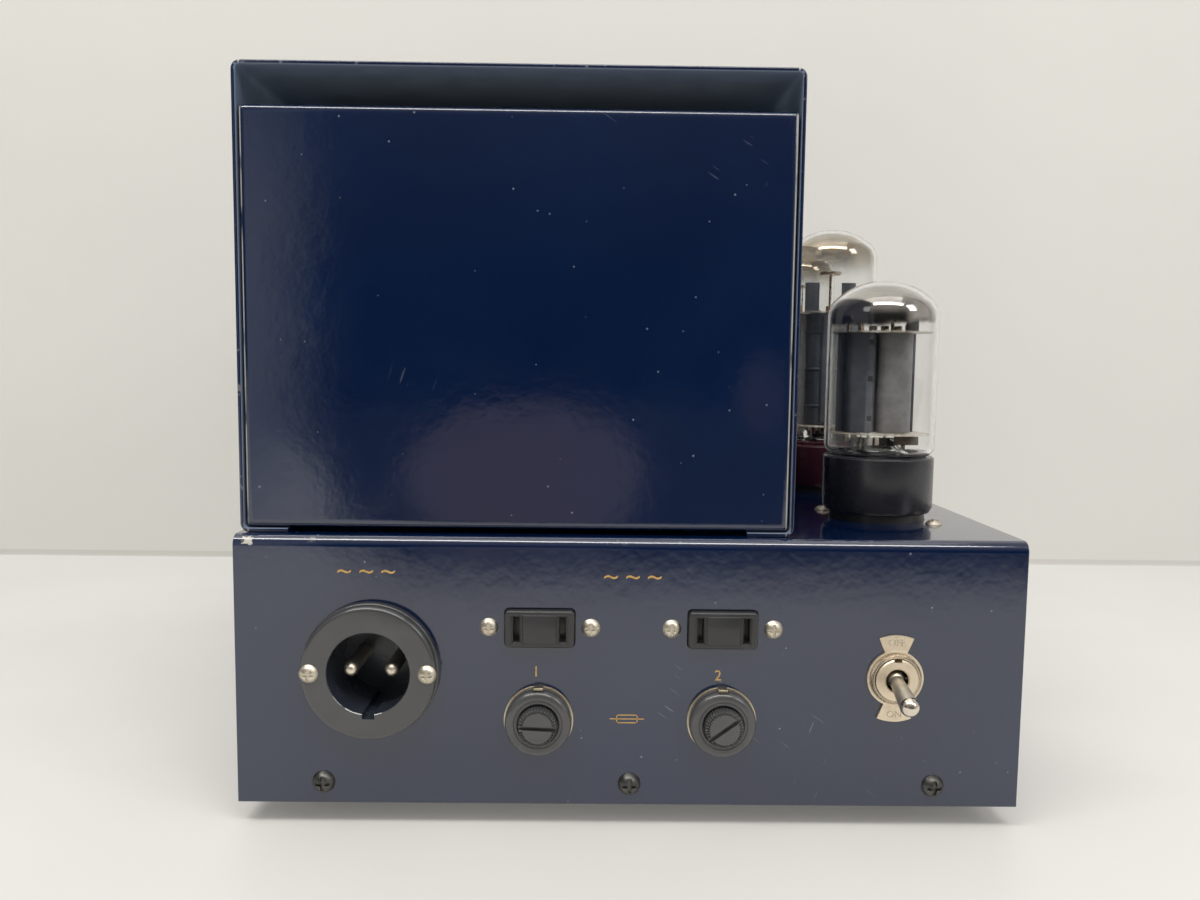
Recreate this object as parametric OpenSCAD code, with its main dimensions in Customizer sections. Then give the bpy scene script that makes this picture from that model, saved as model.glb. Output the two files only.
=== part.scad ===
// Valve power amplifier on a folded steel chassis.
// X runs to the right as seen from the mains end, Y runs from the mains end to the
// signal end and Z is up. The origin is under the middle of the amplifier, on the table.

/* [Chassis] */
// Width of the chassis, side to side
chassis_width = 219; // [212:1:250]
// Depth of the chassis, mains end to signal end
chassis_depth = 305; // [296:1:340]
// Height of the chassis walls
chassis_height = 75.6; // [72:0.2:90]
// Thickness of the folded steel sheet
sheet = 1.2; // [1:0.1:1.6]
// Outside radius of the folds along the chassis top
fold_radius = 3; // [2:0.5:5]

/* [Bottom plate and feet] */
// Height of the bottom plate's upturned flanges
plate_flange = 12; // [10:0.5:13]
// Gap between the bottom plate and the chassis sides
plate_gap = 0.3; // [0.1:0.1:0.6]
// Height of the bottom plate screws above the chassis edge
plate_screw_z = 6; // [5:0.2:7]
// Distance of the outer bottom plate screws from the chassis sides
plate_screw_inset = 24; // [18:0.5:40]
// Width of a vent slot in the bottom plate
plate_slot = 10; // [9:0.5:12]
// Length of a vent slot in the bottom plate
plate_slot_l = 120; // [80:5:160]
// Distance between the bottom plate's vent slots
plate_slot_pitch = 30; // [20:1:40]
// Height of the rubber feet
foot_height = 6.6; // [5:0.2:12]
// Diameter of the rubber feet
foot_diameter = 18; // [14:0.5:24]
// Taper of a foot's side
foot_taper = 1; // [0:0.1:2]
// Distance of each foot's centre from the chassis sides and ends
foot_inset = 28; // [16:1:40]
// Depth that a foot screw's head is sunk in the rubber
foot_recess = 3.6; // [3:0.2:4]

/* [Transformer cover] */
// Width of the cover
cover_width = 154.3; // [140:0.1:158]
// Height of the cover above the chassis
cover_height = 127.5; // [110:0.5:150]
// Distance of the cover's ends from the chassis ends
cover_setback = 4.5; // [2:0.5:12]
// Distance of the cover from the chassis' left side
cover_inset = 0.5; // [0:0.1:4]
// Outside radius of the cover's folds
cover_radius = 2.5; // [2:0.1:5]
// Width of the in-turned flanges that stand on the chassis
cover_flange = 12; // [10:0.5:15]
// Drop of the end panels' upper edges below the cover's top
vent_drop = 11.4; // [8:0.2:16]
// Height of an end panel's lower edge above the chassis
panel_lift = 1.5; // [1.4:0.1:3]
// Outside radius of an end panel's folded edges
panel_radius = 1.6; // [1.2:0.1:3]
// Depth of an end panel's folded edges
panel_return = 10; // [6:0.5:14]
// Gap between an end panel and the cover's sides
panel_gap = 0.3; // [0.1:0.1:0.6]
// Distance of the cover's screws from its ends
cover_screw_inset = 40; // [25:1:60]

/* [Mains inlet] */
// Distance of the inlet's centre from the chassis' left side
inlet_inset = 37.7; // [30:0.1:42]
// Height of the inlet's centre above the chassis edge
inlet_z = 38.5; // [34:0.1:46]
// Diameter of the inlet's flange
inlet_flange = 38; // [37.6:0.1:44]
// Thickness of the inlet's flange
inlet_flange_t = 5; // [4:0.1:7]
// Radius of the flange's rounded rim
inlet_rim = 2; // [1:0.1:2.5]
// Diameter of the inlet's body behind the panel
inlet_body = 26.6; // [26.2:0.1:27.4]
// Depth of the inlet's body behind the panel's face
inlet_body_depth = 24; // [22:0.5:32]
// Diameter of the inlet's socket
inlet_socket = 22.7; // [20:0.1:23]
// Depth of the inlet's socket below the flange face
inlet_socket_depth = 22; // [18:0.5:26]
// Width of the keyway in the socket
inlet_key_w = 3.4; // [2:0.1:5]
// Depth of the keyway in the socket wall
inlet_key_d = 1.3; // [0.8:0.1:1.4]
// Diameter of an inlet pin
inlet_pin = 4; // [3.5:0.1:4.8]
// Diameter of an inlet pin's tail in the socket's floor
inlet_pin_root = 3; // [2.4:0.1:3.4]
// Distance between the inlet pins
inlet_pin_pitch = 11.4; // [9:0.1:13]
// Depth of the pin tips below the flange face
inlet_pin_recess = 3; // [1:0.1:6]
// Length of the pin tails behind the body
inlet_pin_tail = 6; // [4:0.5:10]
// Distance between the inlet's screws
inlet_screw_pitch = 32.2; // [32:0.1:33]

/* [Outlets] */
// Distance between the two outlets
outlet_pitch = 50.65; // [46:0.05:60]
// Height of the outlets above the chassis edge
outlet_z = 50.5; // [48:0.1:56]
// Width of an outlet's face
outlet_w = 19.2; // [17:0.1:21]
// Height of an outlet's face
outlet_h = 10.4; // [9.6:0.1:12]
// Height that the face stands proud of the panel
outlet_proud = 2.3; // [1:0.1:4]
// Radius of the face's corners
outlet_radius = 1.2; // [0.6:0.1:2]
// Depth of an outlet's body behind the panel's face
outlet_depth = 20; // [18:0.5:26]
// Thickness of an outlet's ears
outlet_ear_t = 3; // [2:0.1:4]
// Distance between the blade slots
blade_pitch = 12.7; // [12.2:0.1:13.2]
// Width of a blade slot
blade_w = 1.8; // [1.6:0.1:2.2]
// Height of a blade slot
blade_h = 7.1; // [6.4:0.1:7.6]
// Thickness of the brass contact strip
contact_t = 0.6; // [0.4:0.1:0.8]
// Depth of the contacts below the outlet's face
contact_recess = 5; // [4:0.1:8]
// Length of a contact's solder tag behind the outlet
contact_tag = 6; // [4:0.5:10]
// Distance between an outlet's screws
outlet_screw_pitch = 28.2; // [27.4:0.1:30]

/* [Fuses] */
// Distance between the two fuse holders
fuse_pitch = 51; // [44:0.1:56]
// Height of the fuse holders above the chassis edge
fuse_z = 24.5; // [24:0.1:28]
// Diameter of a fuse holder's flange
fuse_flange = 18.5; // [17.5:0.1:21]
// Thickness of a fuse holder's flange
fuse_flange_t = 4; // [3:0.1:6]
// Radius of the flange's domed rim
fuse_rim = 1.8; // [0.8:0.1:2.4]
// Diameter of a fuse holder's threaded body
fuse_body = 14.2; // [13.6:0.1:15.5]
// Thickness of the wall behind a fuse link
fuse_end_wall = 4; // [3:0.1:6]
// Diameter of a fuse washer
fuse_washer = 19.3; // [18:0.1:20.5]
// Thickness of a fuse washer
fuse_washer_t = 0.7; // [0.5:0.1:1.2]
// Width of the washer's locating tab
fuse_tab_w = 2.6; // [2:0.1:4]
// Size of a fuse holder's nut across its flats
fuse_nut_flats = 18; // [16.6:0.1:18.4]
// Thickness of a fuse holder's nut
fuse_nut_t = 4; // [3:0.1:6]
// Diameter of a fuse cap's knurled head
fuse_cap = 10.8; // [10.4:0.1:11.2]
// Height that a fuse cap stands proud of its flange
fuse_cap_proud = 3; // [2:0.1:5]
// Depth of the flange's recess around the cap
fuse_cap_sink = 1.5; // [1:0.1:2]
// Diameter of a fuse cap's sleeve
fuse_sleeve = 9.6; // [9.2:0.1:9.9]
// Length of a fuse cap's sleeve
fuse_sleeve_l = 9; // [7:0.1:14]
// Width of the screwdriver slot in a fuse cap
fuse_slot_w = 1.2; // [0.8:0.1:1.6]
// Depth of the screwdriver slot in a fuse cap
fuse_slot_d = 1.3; // [0.6:0.1:1.8]
// Rest angle of the left cap's slot
fuse_slot_left = -2.5; // [-90:0.5:90]
// Rest angle of the right cap's slot
fuse_slot_right = 36; // [-90:0.5:90]
// Diameter of a fuse link
fuse_link = 6.35; // [5:0.05:6.4]
// Length of a fuse link
fuse_link_l = 32; // [28:0.5:34]

/* [Switch] */
// Distance of the switch from the chassis' right side
switch_inset = 35.9; // [28:0.1:44]
// Height of the switch above the chassis edge
switch_z = 37.1; // [34:0.1:42]
// Diameter of the switch's threaded bush
bush = 11.9; // [11:0.1:12.6]
// Height of the bush's face above the panel
bush_proud = 2.8; // [2.4:0.1:4]
// Diameter of the hole in the bush
bush_bore = 6.2; // [6:0.1:7]
// Width of the keyway along the bush
bush_key_w = 2.2; // [1.4:0.1:3]
// Depth of the keyway along the bush
bush_key_d = 0.8; // [0.4:0.1:1.2]
// Diameter of the knurled ring nut
ring_nut = 14.5; // [13.8:0.1:15.4]
// Thickness of the knurled ring nut
ring_nut_t = 1.4; // [1:0.1:1.5]
// Thickness of the indicator plate
wing_t = 0.8; // [0.5:0.1:0.9]
// Diameter of the indicator plate's ring
wing_ring = 15.7; // [15.5:0.1:18]
// Diameter across the plate's wings
wing_span = 24.6; // [21:0.1:28]
// Angle that each wing spans
wing_angle = 46; // [30:1:70]
// Width of the switch body
switch_w = 15; // [13:0.5:20]
// Height of the switch body
switch_h = 27; // [24:0.5:30]
// Depth of the switch body
switch_depth = 20; // [18:0.5:26]
// Thickness of the switch body's walls
switch_wall = 2.5; // [1.5:0.1:3]
// Thickness of the switch's steel frame plate
switch_frame_t = 1; // [0.8:0.1:1.6]
// Diameter of the lever's ball
lever_ball = 5.3; // [4.8:0.1:5.5]
// Diameter of the lever where it leaves the ball
lever_root = 3.8; // [3:0.1:4]
// Diameter of the lever's rounded tip
lever_tip = 5.3; // [4.4:0.1:6.4]
// Length of the lever from its pivot to the middle of its tip
lever_length = 13.5; // [11:0.1:18]
// Angle of the lever below level at rest
lever_angle = 15; // [10:0.5:16]
// Diameter of the pin that the lever turns on
lever_pin = 1.2; // [1:0.1:1.6]
// Length of the lever's tail behind the pivot
lever_tail = 8; // [6:0.1:9]
// Diameter of the lever's tail
lever_tail_d = 2.2; // [1.6:0.1:2.4]

/* [Valves] */
// Shift of the valves to the right of the bare top's middle
valve_shift = 2.6; // [0:0.1:4]
// Distance of the rectifier from the mains end
rectifier_y = 44; // [40:0.5:50]
// Distance of the near output valve from the mains end
output_near_y = 112; // [106:0.5:116]
// Distance of the far output valve from the mains end
output_far_y = 174; // [168:0.5:178]
// Distance of the driver valve from the mains end
driver_y = 224; // [220:0.5:228]
// Distance of the input valve from the mains end
input_y = 262; // [258:0.5:270]
// Turn of the sockets, seen from above
socket_turn = -45; // [-60:1:-30]
// Diameter of the eight-pin socket's boss
socket_boss = 29.5; // [28.4:0.1:31]
// Height that the boss stands above the chassis
socket_boss_h = 2.3; // [1.6:0.1:4]
// Depth of the eight-pin socket below the chassis top
socket_depth = 14; // [12:0.5:18]
// Thickness of a socket's ears
socket_ear_t = 2; // [1.2:0.1:3]
// Width of a socket's ears
socket_ear_w = 9; // [8:0.5:11]
// Distance between the eight-pin socket's screws
socket_screw_pitch = 39; // [38:0.5:42]
// Diameter of an eight-pin valve's bulb
bulb = 34; // [31.5:0.1:36]
// Thickness of the bulb's glass
bulb_wall = 1.1; // [0.8:0.1:1.6]
// Radius of the bulb's upper knuckle
bulb_knuckle = 8; // [6:0.1:9]
// Height of the bulb's dome
bulb_dome = 11.4; // [11:0.1:12.4]
// Radius of the bulb's lower shoulder
bulb_shoulder = 3.5; // [2:0.1:5]
// Depth that a bulb's neck is cemented in its base
bulb_neck = 4; // [3:0.1:6]
// Diameter of an eight-pin valve's base
valve_base = 34; // [33:0.1:36]
// Chamfer round the foot of a valve base
base_chamfer = 1.2; // [0.6:0.1:1.6]
// Thickness of a valve base's floor
base_floor = 3; // [2:0.1:4]
// Height of the rectifier's base
rectifier_base_h = 17.3; // [15:0.1:22]
// Height of the rectifier above the chassis
rectifier_h = 74.8; // [70:0.2:84]
// Height of an output valve's base
output_base_h = 15.5; // [14:0.1:20]
// Height of an output valve above the chassis
output_h = 100; // [98:0.5:112]
// Diameter of the circle of eight pins
pin_circle = 17.45; // [17:0.05:18]
// Diameter of a valve pin
valve_pin = 2.36; // [2.2:0.02:2.5]
// Length of a valve pin below its base
valve_pin_l = 11; // [9:0.5:11.5]
// Diameter of the locating spigot
spigot = 7.9; // [7.4:0.1:8.4]
// Length of the locating spigot
spigot_l = 12; // [10:0.5:13]
// Width of the key on the spigot
spigot_key = 1.6; // [1:0.1:2]
// Height of the lower mica above a valve's base
mica_rise = 7; // [6:0.1:9]
// Thickness of a mica disc
mica_t = 0.5; // [0.3:0.1:0.8]
// Gap between a mica disc and the glass
mica_gap = 0.4; // [0.3:0.05:0.8]
// Height of the rectifier's anodes
rectifier_anode_h = 31.6; // [28:0.2:32]
// Height of an output valve's anode
output_anode_h = 43; // [38:0.5:44]

/* [Small valves] */
// Diameter of a small valve's bulb
small_bulb = 22; // [20:0.1:23]
// Height of a small valve above its socket
small_h = 50; // [46:0.5:60]
// Diameter of a small socket's boss
small_boss = 20; // [18.6:0.1:21]
// Height of a small socket's boss above the chassis
small_boss_h = 3; // [2:0.1:5]
// Depth of a small socket below the chassis top
small_depth = 12; // [9:0.5:16]
// Distance between a small socket's screws
small_screw_pitch = 28.6; // [28:0.1:32]
// Diameter of the circle of nine pins
small_pin_circle = 11.9; // [11.5:0.05:12.3]
// Diameter of a small valve's pin
small_pin = 1.02; // [0.96:0.02:1.1]
// Length of a small valve's pins below its glass
small_pin_l = 7; // [6:0.5:8.5]
// Height of a small valve's anodes
small_anode_h = 20; // [16:0.5:22]

/* [Transformers] */
// Distance of the mains transformer from the mains end
mains_y = 76; // [72:0.5:80]
// Width of the mains transformer's core
mains_core_w = 96; // [90:1:104]
// Height of the mains transformer's core
mains_core_h = 80; // [76:1:90]
// Width of the mains transformer's centre limb
mains_limb = 32; // [28:1:34]
// Thickness of the mains transformer's stack
mains_stack = 48; // [40:1:52]
// Distance of the output transformer from the mains end
output_tr_y = 206; // [200:0.5:212]
// Width of the output transformer's core
output_core_w = 84; // [78:1:90]
// Height of the output transformer's core
output_core_h = 70; // [66:1:80]
// Width of the output transformer's centre limb
output_limb = 28; // [24:1:30]
// Thickness of the output transformer's stack
output_stack = 44; // [36:1:46]
// Gap between a coil and its core
coil_gap = 0.5; // [0.3:0.1:1]
// Thickness of the transformer brackets
bracket_t = 2; // [1.5:0.1:3]
// Width of each leg of the transformer brackets
bracket_leg = 13; // [12:0.5:13.5]
// Distance of the core's clamp bolts from its edges
clamp_inset = 6.8; // [6:0.1:7]
// Distance between a bracket's screws
bracket_screw_pitch = 50; // [40:1:54]

/* [Under the chassis] */
// Diameter of the smoothing capacitor
capacitor = 35; // [30:0.5:38]
// Length of the smoothing capacitor
capacitor_l = 55; // [40:0.5:58]
// Distance of the capacitor from the chassis' left side
capacitor_inset = 28; // [24:0.5:30]
// Distance of the capacitor and of the tag board's near screw from the mains end
capacitor_y = 142; // [138:0.5:144]
// Diameter of the circle of capacitor lugs
lug_circle = 24; // [18:0.5:26]
// Diameter of a capacitor lug
lug = 3; // [2:0.1:4]
// Length of the tag board
tag_board_l = 140; // [135:1:150]
// Width of the tag board
tag_board_w = 36; // [30:0.5:40]
// Thickness of the tag board
tag_board_t = 1.6; // [1:0.1:3]
// Distance of the tag board from the chassis' left side
tag_board_inset = 76; // [72:0.5:84]
// Distance between the tag board's screws
tag_screw_pitch = 120; // [116:1:124]
// Height of the tag board's spacers
tag_spacer_h = 14; // [10:0.5:18]
// Diameter of the tag board's spacers
tag_spacer = 8; // [7:0.1:10]
// Diameter of a resistor on the tag board
tag_part = 6; // [4:0.5:8]
// Length of a resistor on the tag board
tag_part_l = 21; // [12:1:28]
// Depth that the resistors are let into the tag board
tag_part_sink = 0.5; // [0.2:0.1:0.8]
// Number of resistors on the tag board
tag_parts = 7; // [4:1:8]

/* [Signal end] */
// Distance of the terminal strip from the chassis' left side
terminal_inset = 70; // [60:1:84]
// Height of the terminal strip above the chassis edge
terminal_z = 38; // [34:0.5:44]
// Width of the terminal strip
terminal_w = 66; // [64:0.5:76]
// Height of the terminal strip
terminal_h = 17; // [15:0.5:22]
// Thickness of the terminal strip
terminal_t = 8; // [6:0.5:10]
// Distance between the terminal screws
terminal_pitch = 12; // [11:0.1:13]
// Diameter of a terminal screw's head
terminal_head = 8; // [7:0.1:9]
// Distance between the strip's fixing screws
terminal_fix_pitch = 56; // [54:0.5:60]
// Distance of the phono socket from the chassis' right side
phono_inset = 50; // [40:1:60]
// Height of the phono socket above the chassis edge
phono_z = 38; // [34:0.5:44]
// Diameter of the phono socket's barrel
phono_barrel = 8.3; // [8:0.1:8.6]
// Length of the phono socket's barrel
phono_barrel_l = 8; // [7:0.1:9]
// Diameter of the phono socket's body in the panel
phono_body = 7.6; // [7:0.1:7.8]
// Diameter of the phono socket's centre hole
phono_bore = 3.2; // [3:0.1:3.4]
// Depth of the phono socket's centre hole
phono_bore_l = 9; // [8:0.1:10]
// Diameter of the phono socket's shoulder
phono_shoulder = 12; // [11:0.1:14]
// Size of the phono socket's nut across its flats
phono_nut = 10.4; // [9.6:0.1:12]
// Thickness of the phono socket's shoulder and nut
phono_shoulder_t = 2; // [1.5:0.1:3]

/* [Fasteners and fits] */
// Diameter of the small screws in the end panels and the sockets
small_screw = 3; // [2.6:0.1:3.2]
// Diameter of the small screws' heads
small_head = 5.2; // [4.8:0.1:5.6]
// Height of the small screws' heads
small_head_h = 1.5; // [1.2:0.1:2]
// Diameter of the bottom plate screws
plate_screw = 3.5; // [3:0.1:4]
// Diameter of the bottom plate screws' heads
plate_head = 6.4; // [5.8:0.1:7.4]
// Height of the bottom plate screws' heads
plate_head_h = 2.4; // [1.6:0.1:3]
// Diameter of the chassis screws
chassis_screw = 4; // [3.5:0.1:4.4]
// Diameter of the chassis screws' heads
chassis_head = 7.5; // [7:0.1:8]
// Height of the chassis screws' heads
chassis_head_h = 2.6; // [2:0.1:3]
// Gap between a piece and its hole in the sheet
hole_gap = 0.2; // [0.1:0.05:0.3]
// Gap between a pin and the hole that it turns or slides in
pin_gap = 0.07; // [0.03:0.01:0.1]
// Gap between pieces cemented or clamped together
seat_gap = 0.05; // [0.02:0.01:0.08]
// Gap between sliding pieces
slide_gap = 0.3; // [0.2:0.05:0.4]

/* [Hidden] */
$fn = 64;

// Diameters of the holes that the screws pass through
small_hole = small_screw + 2 * hole_gap;
chassis_hole = chassis_screw + 2 * hole_gap;
plate_hole = plate_screw + 2 * hole_gap;
// Overshoot of a cut past the face that it opens
cut = 1;
// Nuts: size across the flats and thickness, from the screw
flat_ratio = 1.8;
nut_ratio = 0.8;
// Length of thread that shows past a nut
thread_end = 1;
// Size of the cross recess in a screw head, from the head
recess_width = 0.16;
recess_length = 0.62;
recess_depth = 0.5;

// Places across the panel
inlet_x = inlet_inset - chassis_width / 2;
switch_x = chassis_width / 2 - switch_inset;
outlet_xs = [-outlet_pitch / 2, outlet_pitch / 2];
fuse_xs = [-fuse_pitch / 2, fuse_pitch / 2];
plate_screw_xs = [plate_screw_inset - chassis_width / 2, 0, chassis_width / 2 - plate_screw_inset];
terminal_x = terminal_inset - chassis_width / 2;
phono_x = chassis_width / 2 - phono_inset;

// Places on the chassis top
valve_x = (cover_inset + cover_width) / 2 + valve_shift;
cover_x = cover_inset + cover_width / 2 - chassis_width / 2;
cover_depth = chassis_depth - 2 * cover_setback;
cover_screw_dx = cover_width / 2 - sheet - cover_flange / 2;
cover_screw_ys = [cover_setback + cover_screw_inset, chassis_depth - cover_setback - cover_screw_inset];
capacitor_x = capacitor_inset - chassis_width / 2;
tag_board_x = tag_board_inset - chassis_width / 2;
tag_screw_ys = [capacitor_y, capacitor_y + tag_screw_pitch];
foot_xs = [foot_inset - chassis_width / 2, chassis_width / 2 - foot_inset];
foot_ys = [foot_inset, chassis_depth - foot_inset];
octal_ys = [rectifier_y, output_near_y, output_far_y];
small_ys = [driver_y, input_y];

// Reach past the two end panels, and the mains-end face that this gives
lever_reach = lever_length * cos(lever_angle) + lever_tip / 2;
inlet_reach = inlet_flange_t + small_head_h;
fuse_reach = fuse_washer_t + fuse_flange_t + fuse_cap_proud;
front_reach = max(lever_reach, inlet_reach, fuse_reach);
phono_reach = phono_shoulder_t + phono_barrel_l;
terminal_reach = terminal_t + small_head_h;
rear_reach = max(phono_reach, terminal_reach);
front_y = (front_reach - rear_reach - chassis_depth) / 2;

// Height of the inlet socket's floor out of the panel
inlet_floor = inlet_flange_t - inlet_socket_depth;

// Heights of a fuse's pieces out of the panel
fuse_face = fuse_washer_t + fuse_flange_t;
fuse_cap_seat = fuse_face - fuse_cap_sink + slide_gap;
fuse_link_front = fuse_cap_seat - fuse_cap_sink;
fuse_link_back = fuse_link_front - fuse_link_l;
fuse_back = fuse_link_back - slide_gap - fuse_end_wall;
fuse_bore = fuse_sleeve + 2 * slide_gap;
fuse_tab_y = fuse_washer / 2 - fuse_washer_t;
// Thickness of a fuse's rear contact
fuse_contact_t = 1;
// Wall and length of a fuse link's metal ends
fuse_end_t = 0.2;
fuse_end_l = 6.4;

// Heights of a valve above the chassis
base_foot = socket_boss_h + slide_gap;
rectifier_base_top = base_foot + rectifier_base_h;
output_base_top = base_foot + output_base_h;
neck_radius = bulb / 2 - bulb_shoulder;
small_foot = small_boss_h + slide_gap;
// Thickness of a small valve's glass button and height of its electrodes above it
small_button = 3;
small_stem = 6;
// Radii of a small bulb's shoulder and knuckle, and height of its dome
small_shoulder = 1.5;
small_knuckle = 5;
small_dome = 8;
// Electrodes: rods and their ends above the mica, anodes, cooling fins, getter disc
rod = 1;
rod_end = 3;
rectifier_anode_w = 10.5;
rectifier_anode_d = 12;
rectifier_anode_dx = 6.5;
output_anode_w = 22;
output_anode_d = 16;
fin_w = 5;
fin_h = 11;
fin_t = 0.8;
fin_dx = 7;
getter = 8;
getter_rise = 15;
small_anode_w = 6;
small_anode_d = 8;
small_anode_dx = 4;
// Colour of the glass
glass_tint = [0.8, 0.85, 0.85, 0.4];

// Stands children on the mains-end panel, their Z pointing out of it
module on_panel(x, z) {
    translate([x, front_y, foot_height + z]) rotate([90, 0, 0]) children();
}

// Stands children on the signal-end panel, their Z pointing out of it
module on_rear(x, z) {
    translate([x, front_y + chassis_depth, foot_height + z]) rotate([90, 0, 180]) children();
}

// Stands children on the chassis top
module on_top(x, y) {
    translate([x, front_y + y, foot_height + chassis_height]) children();
}

// Stands children on the level of the chassis' lower edge
module on_edge(x, y) {
    translate([x, front_y + y, foot_height]) children();
}

// Moves children up
module lift(z) {
    translate([0, 0, z]) children();
}

// Hole through the sheet under Z = 0
module sheet_hole(diameter) {
    lift(-sheet) bore(sheet, diameter);
}

// Cylinder that runs past both ends of a bore standing on Z = 0
module bore(length, diameter) {
    lift(-cut) cylinder(h = length + 2 * cut, d = diameter);
}

// Two copies of the children, set apart along X
module pair(pitch) {
    for (side = [-1, 1]) translate([side * pitch / 2, 0]) children();
}

// Rounded rectangle about the origin
module rounded_rect(w, h, r) {
    square([w - 2 * r, h], center = true);
    square([w, h - 2 * r], center = true);
    for (x = [-1, 1], y = [-1, 1])
        translate([x * (w / 2 - r), y * (h / 2 - r)]) circle(r);
}

// Flat-bottomed outline with two rounded upper corners
module arch(w, h, r) {
    square([w, h - r]);
    translate([r, 0]) square([w - 2 * r, h]);
    for (x = [r, w - r])
        translate([x, h - r]) circle(r);
}

// Disc with a rounded front rim, its back at Z = 0
module rimmed_disc(diameter, thickness, rim) {
    rotate_extrude() {
        square([diameter / 2 - rim, thickness]);
        square([diameter / 2, thickness - rim]);
        translate([diameter / 2 - rim, thickness - rim]) circle(rim);
    }
}

// Domed screw head with a cross recess, seated at Z = 0
module screw_head(diameter, height) {
    crown = (diameter * diameter / 4 + height * height) / (2 * height);
    difference() {
        intersection() {
            cylinder(h = height, d = diameter);
            lift(height - crown) sphere(crown);
        }
        for (turn = [0, 90])
            rotate(turn)
                lift(height)
                    cube([recess_length * diameter, recess_width * diameter, 2 * recess_depth * height],
                        center = true);
    }
}

// Screw seated at Z = 0, its shank pointing down
module screw(shank, length, head, head_h) {
    screw_head(head, head_h);
    lift(-length) cylinder(h = length, d = shank);
}

// Hexagon nut standing on Z = 0
module hex_nut(flats, height, thread) {
    difference() {
        cylinder(h = height, d = flats / cos(30), $fn = 6);
        bore(height, thread + 2 * seat_gap);
    }
}

// Nut of a screw, its upper face at Z = 0
module nut(shank) {
    lift(-nut_ratio * shank) hex_nut(flat_ratio * shank, nut_ratio * shank, shank);
}

// Screw through a grip, with its nut on the far side
module bolted(shank, grip, head, head_h) {
    screw(shank, grip + nut_ratio * shank + thread_end, head, head_h);
    lift(-grip) nut(shank);
}

// Chassis

module chassis_shell() {
    on_edge(-chassis_width / 2, 0)
        rotate([90, 0, 90]) {
            linear_extrude(chassis_width)
                difference() {
                    arch(chassis_depth, chassis_height, fold_radius);
                    translate([sheet, -cut])
                        arch(chassis_depth - 2 * sheet, chassis_height - sheet + cut, fold_radius - sheet);
                }
            for (side = [0, chassis_width - sheet])
                lift(side)
                    linear_extrude(sheet)
                        arch(chassis_depth, chassis_height, fold_radius);
        }
}

module panel_cuts() {
    on_panel(inlet_x, inlet_z) {
        sheet_hole(inlet_body + 2 * hole_gap);
        pair(inlet_screw_pitch) sheet_hole(small_hole);
    }
    for (x = outlet_xs)
        on_panel(x, outlet_z) {
            lift(-sheet - cut)
                linear_extrude(sheet + 2 * cut)
                    rounded_rect(outlet_w + 2 * hole_gap, outlet_h + 2 * hole_gap, outlet_radius);
            pair(outlet_screw_pitch) sheet_hole(small_hole);
        }
    for (x = fuse_xs)
        on_panel(x, fuse_z) sheet_hole(fuse_body + 2 * hole_gap);
    on_panel(switch_x, switch_z) sheet_hole(bush + 2 * hole_gap);
    for (x = plate_screw_xs)
        on_panel(x, plate_screw_z) sheet_hole(plate_hole);
}

module rear_cuts() {
    for (x = plate_screw_xs)
        on_rear(x, plate_screw_z) sheet_hole(plate_hole);
    on_rear(phono_x, phono_z) sheet_hole(phono_body + 2 * hole_gap);
    on_rear(terminal_x, terminal_z) {
        lift(-sheet / 2)
            cube([4 * terminal_pitch, terminal_h / 2, sheet + 2 * cut], center = true);
        pair(terminal_fix_pitch) sheet_hole(small_hole);
    }
}

// Calls children at each chassis screw on the top
module at_cover_screws() {
    for (side = [-1, 1], y = cover_screw_ys) on_top(cover_x + side * cover_screw_dx, y) children();
}

module at_bracket_screws() {
    for (t = transformers, end = [-1, 1], side = [-1, 1])
        on_top(cover_x + side * bracket_screw_pitch / 2,
            t[0] + end * (t[4] / 2 + bracket_t + (bracket_leg - bracket_t) / 2))
            children();
}

module at_tag_screws() {
    for (y = tag_screw_ys) on_top(tag_board_x, y) children();
}

module at_lugs() {
    for (turn = [0:120:240])
        on_top(capacitor_x, capacitor_y)
            rotate(turn) translate([lug_circle / 2, 0]) children();
}

// Calls children at each socket screw
module at_socket_screws() {
    for (y = octal_ys)
        on_top(valve_x, y)
            rotate(socket_turn) pair(socket_screw_pitch) children();
    for (y = small_ys)
        on_top(valve_x, y)
            rotate(socket_turn) pair(small_screw_pitch) children();
}

module top_cuts() {
    for (y = octal_ys)
        on_top(valve_x, y) sheet_hole(socket_boss + 2 * hole_gap);
    for (y = small_ys)
        on_top(valve_x, y) sheet_hole(small_boss + 2 * hole_gap);
    at_socket_screws() sheet_hole(small_hole);
    at_cover_screws() sheet_hole(chassis_hole);
    at_bracket_screws() sheet_hole(chassis_hole);
    at_tag_screws() sheet_hole(chassis_hole);
    at_lugs() sheet_hole(lug + 2 * hole_gap);
}

module chassis() {
    color("midnightblue")
        difference() {
            chassis_shell();
            panel_cuts();
            rear_cuts();
            top_cuts();
        }
}

// Bottom plate, its screws and the feet

module bottom_plate() {
    plate_w = chassis_width - 2 * sheet - 2 * plate_gap;
    plate_d = chassis_depth - 2 * sheet;
    color("slategray")
        difference() {
            on_edge(-plate_w / 2, sheet)
                difference() {
                    cube([plate_w, plate_d, plate_flange]);
                    translate([-cut, sheet, sheet])
                        cube([plate_w + 2 * cut, plate_d - 2 * sheet, plate_flange]);
                }
            for (x = plate_screw_xs) {
                on_panel(x, plate_screw_z) lift(-sheet) sheet_hole(plate_hole);
                on_rear(x, plate_screw_z) lift(-sheet) sheet_hole(plate_hole);
            }
            for (x = foot_xs, y = foot_ys)
                on_edge(x, y) lift(sheet) sheet_hole(chassis_hole);
            for (k = [-1.5:1.5])
                on_edge(k * plate_slot_pitch, chassis_depth / 2)
                    lift(-cut)
                        linear_extrude(sheet + 2 * cut)
                            rounded_rect(plate_slot, plate_slot_l, 0.4 * plate_slot);
        }
}

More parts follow.
